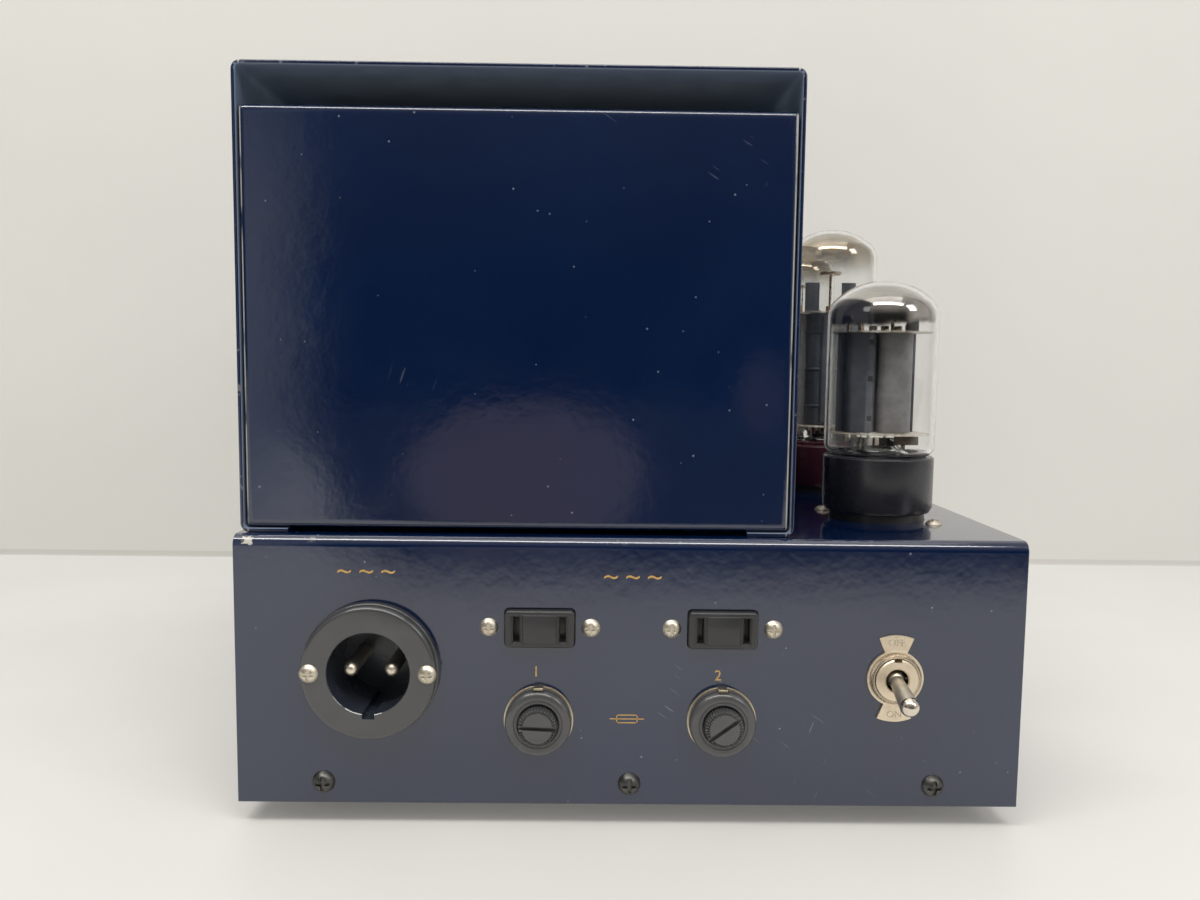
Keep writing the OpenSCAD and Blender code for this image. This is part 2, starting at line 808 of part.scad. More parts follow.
module bottom_plate_screws() {
    color("black")
        for (x = plate_screw_xs) {
            on_panel(x, plate_screw_z)
                bolted(plate_screw, 2 * sheet, plate_head, plate_head_h);
            on_rear(x, plate_screw_z)
                bolted(plate_screw, 2 * sheet, plate_head, plate_head_h);
        }
}

module feet() {
    color("dimgray")
        for (x = foot_xs, y = foot_ys)
            on_edge(x, y)
                lift(-foot_height)
                    difference() {
                        cylinder(h = foot_height, d1 = foot_diameter - 2 * foot_taper, d2 = foot_diameter);
                        lift(-cut)
                            cylinder(h = foot_recess + cut, d = chassis_head + 2 * hole_gap);
                        cylinder(h = foot_height + cut, d = chassis_hole);
                    }
}

module chassis_screws() {
    foot_grip = foot_height - foot_recess + sheet;
    color("silver") {
        for (x = foot_xs, y = foot_ys)
            on_edge(x, y)
                lift(foot_recess - foot_height)
                    rotate([180, 0, 0])
                        bolted(chassis_screw, foot_grip, chassis_head, chassis_head_h);
        at_cover_screws()
            lift(-sheet)
                rotate([180, 0, 0]) bolted(chassis_screw, 2 * sheet, chassis_head, chassis_head_h);
        at_bracket_screws()
            lift(bracket_t)
                bolted(chassis_screw, bracket_t + sheet, chassis_head, chassis_head_h);
        at_tag_screws()
            bolted(chassis_screw, sheet + tag_spacer_h + tag_board_t, chassis_head, chassis_head_h);
    }
}

// Transformer cover

module cover_wrap() {
    color("midnightblue")
        difference() {
            on_top(cover_x, cover_setback)
                lift(cover_height / 2)
                    rotate([-90, 0, 0])
                        linear_extrude(cover_depth)
                            difference() {
                                rounded_rect(cover_width, cover_height, cover_radius);
                                rounded_rect(cover_width - 2 * sheet, cover_height - 2 * sheet,
                                    cover_radius - sheet);
                                translate([0, cover_height / 2])
                                    square([cover_width - 2 * sheet - 2 * cover_flange, 4 * sheet],
                                        center = true);
                            }
            at_cover_screws() lift(sheet) sheet_hole(chassis_hole);
        }
}

// Block whose four front edges are rounded, its front face at Y = 0
module eased_block(w, d, h, r) {
    intersection() {
        translate([-w / 2, 0, 0])
            rotate([90, 0, 90])
                linear_extrude(w)
                    half_rounded(d, h, r);
        translate([-w / 2, 0, 0])
            linear_extrude(h)
                mirror([1, -1]) half_rounded(d, w, r);
    }
}

// Rectangle whose two corners on the X = 0 side are rounded
module half_rounded(w, h, r) {
    translate([r, 0]) square([w - r, h]);
    translate([0, r]) square([w, h - 2 * r]);
    for (y = [r, h - r])
        translate([r, y]) circle(r);
}

// End panel of the cover: a shallow pan with folded edges, its face at Y = 0
module end_panel() {
    panel_w = cover_width - 2 * sheet - 2 * panel_gap;
    panel_h = cover_height - vent_drop - panel_lift;
    difference() {
        eased_block(panel_w, panel_return, panel_h, panel_radius);
        translate([0, sheet, sheet])
            eased_block(panel_w - 2 * sheet, panel_return, panel_h - 2 * sheet, panel_radius - sheet);
    }
}

module cover_front_panel() {
    color("navy") on_top(cover_x, cover_setback) lift(panel_lift) end_panel();
}

module cover_rear_panel() {
    color("navy")
        on_top(cover_x, chassis_depth - cover_setback)
            lift(panel_lift) rotate(180) end_panel();
}

// Mains inlet

module mains_inlet() {
    color("#2b2b2d")
        on_panel(inlet_x, inlet_z)
            difference() {
                union() {
                    rimmed_disc(inlet_flange, inlet_flange_t, inlet_rim);
                    lift(-inlet_body_depth)
                        cylinder(h = inlet_body_depth + inlet_flange_t / 2, d = inlet_body);
                }
                lift(inlet_floor) {
                    cylinder(h = inlet_socket_depth + cut, d = inlet_socket);
                    translate([-inlet_key_w / 2, -inlet_socket / 2 - inlet_key_d, 0])
                        cube([inlet_key_w, inlet_socket / 2, inlet_socket_depth + cut]);
                }
                for (side = [-1, 1]) {
                    translate([side * inlet_pin_pitch / 2, 0, -inlet_body_depth - cut])
                        cylinder(h = inlet_body_depth + cut, d = inlet_pin_root + 2 * seat_gap);
                    translate([side * inlet_screw_pitch / 2, 0, -cut])
                        cylinder(h = inlet_flange_t + 2 * cut, d = small_hole);
                }
            }
}

// Pins that stand on the socket's floor, their tails through it
module mains_inlet_pins() {
    pin_l = inlet_socket_depth - inlet_pin_recess - inlet_pin / 2;
    tail_l = inlet_body_depth + inlet_floor + inlet_pin_tail;
    color("silver")
        on_panel(inlet_x, inlet_z)
            for (side = [-1, 1])
                translate([side * inlet_pin_pitch / 2, 0, inlet_floor]) {
                    cylinder(h = pin_l, d = inlet_pin);
                    lift(pin_l) sphere(d = inlet_pin);
                    lift(-tail_l) cylinder(h = tail_l, d = inlet_pin_root);
                }
}

module panel_screws() {
    color("tan") {
        on_panel(inlet_x, inlet_z)
            for (side = [-1, 1])
                translate([side * inlet_screw_pitch / 2, 0, inlet_flange_t])
                    screw(small_screw, inlet_flange_t + sheet + thread_end, small_head, small_head_h);
        for (x = outlet_xs)
            on_panel(x, outlet_z)
                pair(outlet_screw_pitch)
                    bolted(small_screw, sheet + outlet_ear_t, small_head, small_head_h);
        on_rear(terminal_x, terminal_z)
            for (side = [-1, 1])
                translate([side * terminal_fix_pitch / 2, 0, terminal_t])
                    bolted(small_screw, terminal_t + sheet, small_head, small_head_h);
    }
}

// Outlets

module outlet() {
    ear_w = outlet_screw_pitch + 3 * small_screw;
    pocket_w = blade_w + 2 * contact_t + 2 * seat_gap;
    difference() {
        union() {
            lift(-outlet_depth)
                linear_extrude(outlet_depth + outlet_proud)
                    rounded_rect(outlet_w, outlet_h, outlet_radius);
            lift(-sheet - outlet_ear_t)
                linear_extrude(outlet_ear_t)
                    rounded_rect(ear_w, outlet_h, outlet_radius);
        }
        for (side = [-1, 1]) {
            translate([side * blade_pitch / 2, 0, outlet_proud - contact_recess / 2])
                cube([blade_w, blade_h, contact_recess + 2 * cut], center = true);
            translate([side * blade_pitch / 2 - pocket_w / 2, -blade_h / 2, -outlet_depth - cut])
                cube([pocket_w, blade_h, outlet_depth + outlet_proud - contact_recess + cut]);
            translate([side * outlet_screw_pitch / 2, 0])
                lift(-sheet - outlet_ear_t - cut)
                    cylinder(h = outlet_ear_t + 2 * cut, d = small_hole);
        }
    }
}

module outlet_left() {
    color("#333336") on_panel(outlet_xs[0], outlet_z) outlet();
}

module outlet_right() {
    color("#333336") on_panel(outlet_xs[1], outlet_z) outlet();
}

// Brass clip with two leaves that grip a blade, and a solder tag at the back
module contact_clip() {
    clip_w = blade_w + 2 * contact_t;
    clip_l = outlet_depth + outlet_proud - contact_recess - slide_gap;
    clip_h = blade_h - 2 * seat_gap;
    lift(-outlet_depth) {
        difference() {
            translate([-clip_w / 2, -clip_h / 2, 0]) cube([clip_w, clip_h, clip_l]);
            translate([-blade_w / 2, -clip_h / 2 - cut, contact_t])
                cube([blade_w, clip_h + 2 * cut, clip_l]);
        }
        translate([-contact_t / 2, -clip_h / 2, -contact_tag])
            cube([contact_t, clip_h, contact_tag]);
    }
}

module outlet_contacts() {
    color("goldenrod")
        for (x = outlet_xs, side = [-1, 1])
            on_panel(x + side * blade_pitch / 2, outlet_z) contact_clip();
}

// Fuses

module fuse_holder() {
    difference() {
        union() {
            lift(fuse_washer_t) rimmed_disc(fuse_flange, fuse_flange_t, fuse_rim);
            lift(fuse_back)
                cylinder(h = fuse_washer_t - fuse_back + fuse_flange_t / 2, d = fuse_body);
        }
        lift(fuse_link_back - slide_gap)
            cylinder(h = fuse_face - fuse_link_back + slide_gap + cut, d = fuse_bore);
        lift(fuse_face - fuse_cap_sink)
            cylinder(h = fuse_cap_sink + cut, d = fuse_cap + 2 * slide_gap);
        translate([-fuse_tab_w / 2 - hole_gap, fuse_tab_y - hole_gap, 0])
            cube([fuse_tab_w + 2 * hole_gap, fuse_flange, fuse_face + cut]);
        lift(fuse_back - cut)
            cylinder(h = fuse_end_wall + 2 * cut, d = fuse_link / 2 + 2 * seat_gap);
    }
}

module fuse_holder_left() {
    color("#2b2b2d") on_panel(fuse_xs[0], fuse_z) fuse_holder();
}

module fuse_holder_right() {
    color("#2b2b2d") on_panel(fuse_xs[1], fuse_z) fuse_holder();
}

module fuse_washers() {
    tab_h = fuse_washer_t + fuse_flange_t / 2;
    color("wheat")
        for (x = fuse_xs)
            on_panel(x, fuse_z) {
                difference() {
                    cylinder(h = fuse_washer_t, d = fuse_washer);
                    bore(fuse_washer_t, fuse_body + 2 * seat_gap);
                }
                translate([-fuse_tab_w / 2, fuse_tab_y, 0])
                    cube([fuse_tab_w, fuse_washer_t, tab_h]);
            }
}

module fuse_holder_nuts() {
    color("#3a3a3c")
        for (x = fuse_xs)
            on_panel(x, fuse_z)
                lift(-sheet - fuse_nut_t)
                    hex_nut(fuse_nut_flats, fuse_nut_t, fuse_body);
}

module fuse_contacts() {
    color("goldenrod")
        for (x = fuse_xs)
            on_panel(x, fuse_z)
                lift(fuse_back - fuse_contact_t) {
                    cylinder(h = fuse_contact_t, d = fuse_body - 2 * fuse_contact_t);
                    cylinder(h = fuse_contact_t + fuse_end_wall, d = fuse_link / 2);
                    translate([-fuse_link / 4, 0, -contact_tag])
                        cube([fuse_link / 2, fuse_contact_t, contact_tag]);
                }
}

module fuse_cap_piece(slot_turn) {
    difference() {
        union() {
            lift(fuse_cap_seat)
                cylinder(h = fuse_face + fuse_cap_proud - fuse_cap_seat, d = fuse_cap);
            lift(fuse_cap_seat - fuse_sleeve_l)
                cylinder(h = fuse_sleeve_l, d = fuse_sleeve);
        }
        lift(fuse_cap_seat - fuse_sleeve_l - cut)
            cylinder(h = fuse_link_front - fuse_cap_seat + fuse_sleeve_l + cut + seat_gap,
                d = fuse_link + 2 * pin_gap);
        rotate(slot_turn)
            lift(fuse_face + fuse_cap_proud)
                cube([fuse_cap + cut, fuse_slot_w, 2 * fuse_slot_d], center = true);
    }
}

module fuse_cap_left() {
    color("#2b2b2d") on_panel(fuse_xs[0], fuse_z) fuse_cap_piece(fuse_slot_left);
}

module fuse_cap_right() {
    color("#2b2b2d") on_panel(fuse_xs[1], fuse_z) fuse_cap_piece(fuse_slot_right);
}

// Glass tube fuse with two metal ends
module fuse_link_piece() {
    lift(fuse_link_back) {
        cylinder(h = fuse_link_l, d = fuse_link - 2 * fuse_end_t);
        cylinder(h = fuse_end_l, d = fuse_link);
        lift(fuse_link_l - fuse_end_l) cylinder(h = fuse_end_l, d = fuse_link);
    }
}

module fuse_link_left() {
    color("lightgray") on_panel(fuse_xs[0], fuse_z) fuse_link_piece();
}

module fuse_link_right() {
    color("lightgray") on_panel(fuse_xs[1], fuse_z) fuse_link_piece();
}

// Toggle switch

module switch_body() {
    body_front = -sheet - switch_frame_t;
    color("#4a2f22")
        on_panel(switch_x, switch_z)
            difference() {
                translate([-switch_w / 2, -switch_h / 2, body_front - switch_depth])
                    cube([switch_w, switch_h, switch_depth]);
                translate([switch_wall - switch_w / 2, switch_wall - switch_h / 2,
                    body_front - switch_depth + switch_wall])
                    cube([switch_w - 2 * switch_wall, switch_h - 2 * switch_wall, switch_depth]);
            }
}

module switch_bush() {
    frame_back = -sheet - switch_frame_t;
    color("tan")
        on_panel(switch_x, switch_z)
            difference() {
                union() {
                    lift(frame_back) cylinder(h = bush_proud - frame_back, d = bush);
                    translate([-switch_w / 2, -switch_h / 2, frame_back])
                        cube([switch_w, switch_h, switch_frame_t]);
                }
                lift(frame_back - cut)
                    cylinder(h = bush_proud - frame_back + 2 * cut, d = bush_bore);
                translate([-bush_key_w / 2, bush / 2 - bush_key_d, -sheet])
                    cube([bush_key_w, bush, bush_proud + sheet + cut]);
                rotate([0, 90, 0])
                    cylinder(h = bush - bush_key_d, d = lever_pin + 2 * pin_gap, center = true);
            }
}

// One wing of the indicator plate, a sector pointing up
module wing(reach) {
    difference() {
        circle(reach);
        for (side = [-1, 1])
            rotate(side * wing_angle / 2)
                translate([side > 0 ? -2 * reach : 0, -2 * reach]) square([2 * reach, 4 * reach]);
        translate([-reach, -2 * reach]) square(2 * reach);
    }
}

module switch_plate() {
    color("tan")
        on_panel(switch_x, switch_z)
            linear_extrude(wing_t)
                difference() {
                    union() {
                        circle(d = wing_ring);
                        wing(wing_span / 2);
                        rotate(180) wing(wing_span / 2);
                    }
                    circle(d = bush + 2 * seat_gap);
                }
}

module switch_nut() {
    color("tan")
        on_panel(switch_x, switch_z)
            lift(wing_t)
                difference() {
                    cylinder(h = ring_nut_t, d = ring_nut);
                    bore(ring_nut_t, bush + 2 * seat_gap);
                }
}

module switch_lever() {
    color("gainsboro")
        on_panel(switch_x, switch_z) {
            rotate([lever_angle, 0, 0]) {
                sphere(d = lever_ball);
                cylinder(h = lever_length, d1 = lever_root, d2 = lever_tip);
                lift(lever_length) sphere(d = lever_tip);
                lift(-lever_tail) cylinder(h = lever_tail, d = lever_tail_d);
            }
            rotate([0, 90, 0])
                cylinder(h = bush - bush_key_d - 2 * slide_gap, d = lever_pin, center = true);
        }
}

// Valve sockets

// Outline of a socket's ears
module ears(pitch, boss) {
    circle(d = boss + 2 * socket_ear_t);
    square([pitch, socket_ear_w], center = true);
    pair(pitch) circle(d = socket_ear_w);
}

// Moulded socket that comes up through the chassis, its ears against the underside
module socket(boss, boss_h, depth, pitch, pins, circle_d, pin_d) {
    difference() {
        union() {
            lift(-depth) cylinder(h = depth + boss_h, d = boss);
            lift(-sheet - socket_ear_t)
                linear_extrude(socket_ear_t)
                    ears(pitch, boss);
        }
        for (k = [0:pins - 1])
            rotate(pin_turn(k, pins))
                translate([circle_d / 2, 0, -depth - cut])
                    cylinder(h = depth + boss_h + 2 * cut, d = pin_d + 2 * pin_gap);
        for (side = [-1, 1])
            translate([side * pitch / 2, 0, -sheet - socket_ear_t - cut])
                cylinder(h = socket_ear_t + 2 * cut, d = small_hole);
    }
}

// Angle of a pin: eight are spread evenly, nine are a ring of ten with one left out
function pin_turn(k, pins) = pins == 8 ? 22.5 + 45 * k : 36 * (k + 1);

module octal_socket() {
    rotate(socket_turn)
        difference() {
            socket(socket_boss, socket_boss_h, socket_depth, socket_screw_pitch, 8, pin_circle, valve_pin);
            lift(-socket_depth - cut)
                linear_extrude(socket_depth + socket_boss_h + 2 * cut)
                    spigot_outline(2 * pin_gap);
        }
}

// Round spigot with one key
module spigot_outline(grow) {
    circle(d = spigot + grow);
    translate([0, -(spigot_key + grow) / 2])
        square([spigot / 2 + spigot_key / 2 + grow / 2, spigot_key + grow]);
}

module rectifier_socket() {
    color("#232325") on_top(valve_x, rectifier_y) octal_socket();
}

module output_socket_near() {
    color("#232325") on_top(valve_x, output_near_y) octal_socket();
}

module output_socket_far() {
    color("#232325") on_top(valve_x, output_far_y) octal_socket();
}

module small_sockets() {
    color("#232325")
        for (y = small_ys)
            on_top(valve_x, y)
                rotate(socket_turn)
                    socket(small_boss, small_boss_h, small_depth, small_screw_pitch, 9,
                        small_pin_circle, small_pin);
}

module socket_screws() {
    color("tan")
        at_socket_screws()
            bolted(small_screw, sheet + socket_ear_t, small_head, small_head_h);
}

// Eight-pin valves

module octal_base(height) {
    rotate(socket_turn)
        lift(base_foot)
            difference() {
                union() {
                    cylinder(h = 2 * base_chamfer, d1 = valve_base - 2 * base_chamfer, d2 = valve_base);
                    lift(2 * base_chamfer)
                        cylinder(h = height - 2 * base_chamfer, d = valve_base);
                    lift(-spigot_l)
                        linear_extrude(spigot_l)
                            spigot_outline(0);
                }
                lift(height - bulb_neck)
                    cylinder(h = bulb_neck + cut, r = neck_radius + seat_gap);
                lift(base_floor) cylinder(h = height, r = neck_radius - bulb_wall);
                for (k = [0:7])
                    rotate(pin_turn(k, 8))
                        translate([pin_circle / 2, 0, -cut])
                            cylinder(h = base_floor + 2 * cut, d = valve_pin + 2 * seat_gap);
            }
}

module octal_pins() {
    rotate(socket_turn)
        for (k = [0:7])
            rotate(pin_turn(k, 8))
                translate([pin_circle / 2, 0, base_foot - valve_pin_l]) {
                    cylinder(h = valve_pin_l + base_floor + thread_end, d = valve_pin);
                    sphere(d = valve_pin);
                }
}

// Half outline of a bulb: rounded shoulder below, flattened dome above
module bulb_outline(r, knuckle, shoulder, bottom, top, dome) {
    crown = (knuckle * knuckle - dome * dome - pow(r - knuckle, 2)) / (2 * (knuckle - dome));
    crown_z = top - crown;
    knuckle_z = top - dome;
    lean = atan2(r - knuckle, knuckle_z - crown_z);
    translate([0, bottom + shoulder]) square([r, knuckle_z - bottom - shoulder]);
    translate([0, bottom]) square([r - shoulder, shoulder + cut]);
    translate([r - shoulder, bottom + shoulder]) circle(shoulder);
    translate([r - knuckle, knuckle_z]) circle(knuckle);
    intersection() {
        translate([0, crown_z]) circle(crown);
        polygon([[0, knuckle_z - cut], [r - knuckle, knuckle_z - cut],
            [r - knuckle + crown * sin(lean), knuckle_z - cut + crown * cos(lean)], [0, top + crown]]);
    }
}

// Right half of the outlines given as children, turned about Z
module turned(reach) {
    rotate_extrude()
        intersection() {
            children();
            translate([0, -reach]) square([reach, 2 * reach]);
        }
}

// Glass bulb, open at its neck
module bulb_glass(base_top, top) {
    neck_foot = base_top - bulb_neck;
    turned(2 * top)
        difference() {
            union() {
                bulb_outline(bulb / 2, bulb_knuckle, bulb_shoulder, base_top, top, bulb_dome);
                translate([0, neck_foot]) square([neck_radius, bulb_neck + cut]);
            }
            bulb_outline(bulb / 2 - bulb_wall, bulb_knuckle - bulb_wall, bulb_shoulder - bulb_wall,
                base_top + bulb_wall, top - bulb_wall, bulb_dome - bulb_wall);
            translate([0, neck_foot - cut])
                square([neck_radius - bulb_wall, bulb_neck + cut + bulb_shoulder]);
        }
}

// Two mica discs and the rods between them and the stem
module cage(base_top, anode_h) {
    mica_r = bulb / 2 - bulb_wall - mica_gap;
    low = base_top + mica_rise;
    for (z = [low - mica_t, low + anode_h])
        lift(z) cylinder(h = mica_t, r = mica_r);
    for (turn = [45:90:315])
        rotate(turn)
            translate([pin_circle / 2, 0, base_top - bulb_neck])
                cylinder(h = bulb_neck + mica_rise + anode_h + rod_end, d = rod);
}

module rectifier_electrodes() {
    low = rectifier_base_top + mica_rise;
    color("dimgray")
        on_top(valve_x, rectifier_y) {
            cage(rectifier_base_top, rectifier_anode_h);
            for (side = [-1, 1])
                translate([side * rectifier_anode_dx, 0, low + rectifier_anode_h / 2])
                    cube([rectifier_anode_w, rectifier_anode_d, rectifier_anode_h], center = true);
        }
}

module output_electrodes() {
    low = output_base_top + mica_rise;
    cage(output_base_top, output_anode_h);
    lift(low + output_anode_h / 2)
        cube([output_anode_w, output_anode_d, output_anode_h], center = true);
    lift(low + output_anode_h) {
        for (side = [-1, 1])
            translate([side * fin_dx, 0, fin_h / 2]) cube([fin_w, fin_t, fin_h], center = true);
        cylinder(h = getter_rise, d = rod);
        lift(getter_rise) cylinder(h = fin_t, d = getter);
    }
}

module rectifier_base() {
    color("#1c1c1e") on_top(valve_x, rectifier_y) octal_base(rectifier_base_h);
}

module rectifier_pins() {
    color("silver") on_top(valve_x, rectifier_y) octal_pins();
}

module rectifier_glass() {
    color(glass_tint)
        on_top(valve_x, rectifier_y) bulb_glass(rectifier_base_top, rectifier_h);
}

module output_valve_near_base() {
    color("#3a1414") on_top(valve_x, output_near_y) octal_base(output_base_h);
}

module output_valve_near_pins() {
    color("silver") on_top(valve_x, output_near_y) octal_pins();
}

module output_valve_near_glass() {
    color(glass_tint)
        on_top(valve_x, output_near_y) bulb_glass(output_base_top, output_h);
}

module output_valve_near_electrodes() {
    color("dimgray") on_top(valve_x, output_near_y) output_electrodes();
}

module output_valve_far_base() {
    color("#3a1414") on_top(valve_x, output_far_y) octal_base(output_base_h);
}

module output_valve_far_pins() {
    color("silver") on_top(valve_x, output_far_y) octal_pins();
}

module output_valve_far_glass() {
    color(glass_tint)
        on_top(valve_x, output_far_y) bulb_glass(output_base_top, output_h);
}

module output_valve_far_electrodes() {
    color("dimgray") on_top(valve_x, output_far_y) output_electrodes();
}

// Small valves

module small_glass() {
    r = small_bulb / 2;
    top = small_foot + small_h;
    difference() {
        turned(2 * top)
            difference() {
                bulb_outline(r, small_knuckle, small_shoulder, small_foot, top, small_dome);
                bulb_outline(r - bulb_wall, small_knuckle - bulb_wall, small_shoulder,
                    small_foot + small_button, top - bulb_wall, small_dome - bulb_wall);
            }
        for (k = [0:8])
            rotate(socket_turn + pin_turn(k, 9))
                translate([small_pin_circle / 2, 0, small_foot - cut])
                    cylinder(h = small_button + 2 * cut, d = small_pin + 2 * seat_gap);
    }
}

// Electrodes of a small valve, carried on the nine pin wires
module small_electrodes() {
    low = small_foot + small_button + small_stem;
    for (k = [0:8])
        rotate(socket_turn + pin_turn(k, 9))
            translate([small_pin_circle / 2, 0, small_foot - small_pin_l])
                cylinder(h = small_pin_l + small_button + small_stem + mica_t / 2, d = small_pin);
    for (z = [low, low + small_anode_h])
        lift(z) cylinder(h = mica_t, r = small_bulb / 2 - bulb_wall - mica_gap);
    for (side = [-1, 1])
        translate([side * small_anode_dx, 0, low + small_anode_h / 2])
            cube([small_anode_w, small_anode_d, small_anode_h], center = true);
}

module driver_valve_glass() {
    color(glass_tint) on_top(valve_x, driver_y) small_glass();
}

module driver_valve_electrodes() {
    color("dimgray") on_top(valve_x, driver_y) small_electrodes();
}

module input_valve_glass() {
    color(glass_tint) on_top(valve_x, input_y) small_glass();
}

module input_valve_electrodes() {
    color("dimgray") on_top(valve_x, input_y) small_electrodes();
}

// Transformers: distance from the mains end, core width, core height, limb, stack
transformers = [[mains_y, mains_core_w, mains_core_h, mains_limb, mains_stack],
    [output_tr_y, output_core_w, output_core_h, output_limb, output_stack]];

// Places of a core's four clamp bolts, as X and Z
function clamp_places(t) = [for (x = [-1, 1], z = [clamp_inset, t[2] - clamp_inset])
    [x * (t[1] / 2 - clamp_inset), z]];

module transformer_core(t) {
    window = (t[1] - 2 * t[3]) / 2;
    on_top(cover_x, t[0])
        rotate([90, 0, 0])
            linear_extrude(t[4], center = true)
                difference() {
                    translate([-t[1] / 2, 0]) square([t[1], t[2]]);
                    for (side = [-1, 1])
                        translate([side * (t[3] + window) / 2 - window / 2, t[3] / 2])
                            square([window, t[2] - t[3]]);
                    for (p = clamp_places(t))
                        translate(p) circle(d = chassis_hole);
                }
}

module transformer_coil(t) {
    window = (t[1] - 2 * t[3]) / 2;
    build = window - 2 * coil_gap;
    hole_w = t[3] + 2 * coil_gap;
    hole_d = t[4] + 2 * coil_gap;
    coil_h = t[2] - t[3] - 2 * coil_gap;
    on_top(cover_x, t[0])
        translate([0, 0, t[2] / 2])
            difference() {
                linear_extrude(coil_h, center = true)
                    rounded_rect(hole_w + 2 * build, hole_d + 2 * build, build / 2);
                cube([hole_w, hole_d, coil_h + cut], center = true);
            }
}

module mains_transformer_core() {
    color("dimgray") transformer_core(transformers[0]);
}

module mains_transformer_coil() {
    color("peru") transformer_coil(transformers[0]);
}

module output_transformer_core() {
    color("dimgray") transformer_core(transformers[1]);
}

module output_transformer_coil() {
    color("peru") transformer_coil(transformers[1]);
}

// Angle strips along both sides of each core's foot
module transformer_brackets() {
    color("silver")
        difference() {
            for (t = transformers, end = [0, 180])
                on_top(cover_x, t[0])
                    rotate(end)
                        translate([-t[1] / 2, t[4] / 2, 0]) {
                            cube([t[1], bracket_leg, bracket_t]);
                            cube([t[1], bracket_t, bracket_leg]);
                        }
            at_bracket_screws() bore(bracket_t, chassis_hole);
            for (t = transformers, p = clamp_places(t))
                on_top(cover_x + p[0], t[0])
                    translate([0, 0, p[1]])
                        rotate([90, 0, 0])
                            cylinder(h = t[4] + 4 * bracket_t, d = chassis_hole, center = true);
        }
}

module transformer_bolts() {
    color("silver")
        for (t = transformers, p = clamp_places(t))
            on_top(cover_x + p[0], t[0])
                translate([0, -t[4] / 2 - clamp_pad(p), p[1]])
                    rotate([90, 0, 0])
                        bolted(chassis_screw, t[4] + 2 * clamp_pad(p), chassis_head, chassis_head_h);
}

// The lower clamp bolts also pass through the brackets
function clamp_pad(p) = p[1] < bracket_leg ? bracket_t : 0;

// Under the chassis

module smoothing_capacitor() {
    color("lightsteelblue") {
        on_top(capacitor_x, capacitor_y)
            lift(-sheet - capacitor_l) cylinder(h = capacitor_l, d = capacitor);
        at_lugs() lift(-sheet - cut) cylinder(h = sheet + cut + lug, d = lug);
    }
}

module tag_board() {
    part_pitch = tag_screw_pitch / (tag_parts + 1);
    board_z = -sheet - tag_spacer_h - tag_board_t;
    color("sienna") {
        difference() {
            union() {
                on_top(tag_board_x, capacitor_y + tag_screw_pitch / 2)
                    translate([-tag_board_w / 2, -tag_board_l / 2, board_z])
                        cube([tag_board_w, tag_board_l, tag_board_t]);
                at_tag_screws()
                    lift(-sheet - tag_spacer_h)
                        cylinder(h = tag_spacer_h, d = tag_spacer);
            }
            at_tag_screws()
                lift(board_z - cut) cylinder(h = -board_z, d = chassis_hole);
        }
        for (k = [1:tag_parts])
            on_top(tag_board_x, capacitor_y + k * part_pitch)
                lift(board_z + tag_part_sink - tag_part / 2)
                    rotate([0, 90, 0]) cylinder(h = tag_part_l, d = tag_part, center = true);
    }
}

// Signal end

// Calls children at each of the four terminals
module at_terminals() {
    for (k = [-1.5:1:1.5]) translate([k * terminal_pitch, 0]) children();
}

module terminal_strip() {
    color("#2b2b2d")
        on_rear(terminal_x, terminal_z)
            difference() {
                translate([-terminal_w / 2, -terminal_h / 2, 0])
                    cube([terminal_w, terminal_h, terminal_t]);
                at_terminals() {
                    bore(terminal_t, chassis_hole);
                    lift(terminal_t - chassis_head_h)
                        cylinder(h = chassis_head_h + cut, d = terminal_head + 2 * hole_gap);
                }
                pair(terminal_fix_pitch) bore(terminal_t, small_hole);
            }
}

module terminal_screws() {
    color("goldenrod")
        on_rear(terminal_x, terminal_z)
            at_terminals()
                lift(terminal_t - chassis_head_h)
                    screw(chassis_screw, terminal_t - chassis_head_h + sheet + contact_tag,
                        terminal_head, chassis_head_h);
}

module phono_socket() {
    color("gainsboro")
        on_rear(phono_x, phono_z) {
            difference() {
                union() {
                    cylinder(h = phono_shoulder_t, d = phono_shoulder);
                    cylinder(h = phono_reach, d = phono_barrel);
                    lift(-sheet - contact_tag)
                        cylinder(h = sheet + contact_tag + cut, d = phono_body);
                }
                lift(phono_reach - phono_bore_l)
                    cylinder(h = phono_bore_l + cut, d = phono_bore);
            }
            lift(-sheet - phono_shoulder_t)
                hex_nut(phono_nut, phono_shoulder_t, phono_body);
        }
}

chassis();
bottom_plate();
bottom_plate_screws();
feet();
chassis_screws();
cover_wrap();
cover_front_panel();
cover_rear_panel();
mains_inlet();
mains_inlet_pins();
panel_screws();
outlet_left();
outlet_right();
outlet_contacts();
fuse_holder_left();
fuse_holder_right();
fuse_washers();
fuse_holder_nuts();
fuse_contacts();
fuse_cap_left();
fuse_cap_right();
fuse_link_left();
fuse_link_right();
switch_body();
switch_bush();
switch_plate();
switch_nut();
switch_lever();
rectifier_socket();
output_socket_near();
output_socket_far();
small_sockets();
socket_screws();
rectifier_base();
rectifier_pins();
rectifier_glass();
rectifier_electrodes();
output_valve_near_base();
output_valve_near_pins();
output_valve_near_glass();
output_valve_near_electrodes();
output_valve_far_base();
output_valve_far_pins();
output_valve_far_glass();
output_valve_far_electrodes();
driver_valve_glass();
driver_valve_electrodes();
input_valve_glass();
input_valve_electrodes();
mains_transformer_core();
mains_transformer_coil();
output_transformer_core();
output_transformer_coil();
transformer_brackets();
transformer_bolts();
smoothing_capacitor();
tag_board();
terminal_strip();
terminal_screws();
phono_socket();
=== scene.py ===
import math
import bpy
import bmesh
from mathutils import Matrix, Vector


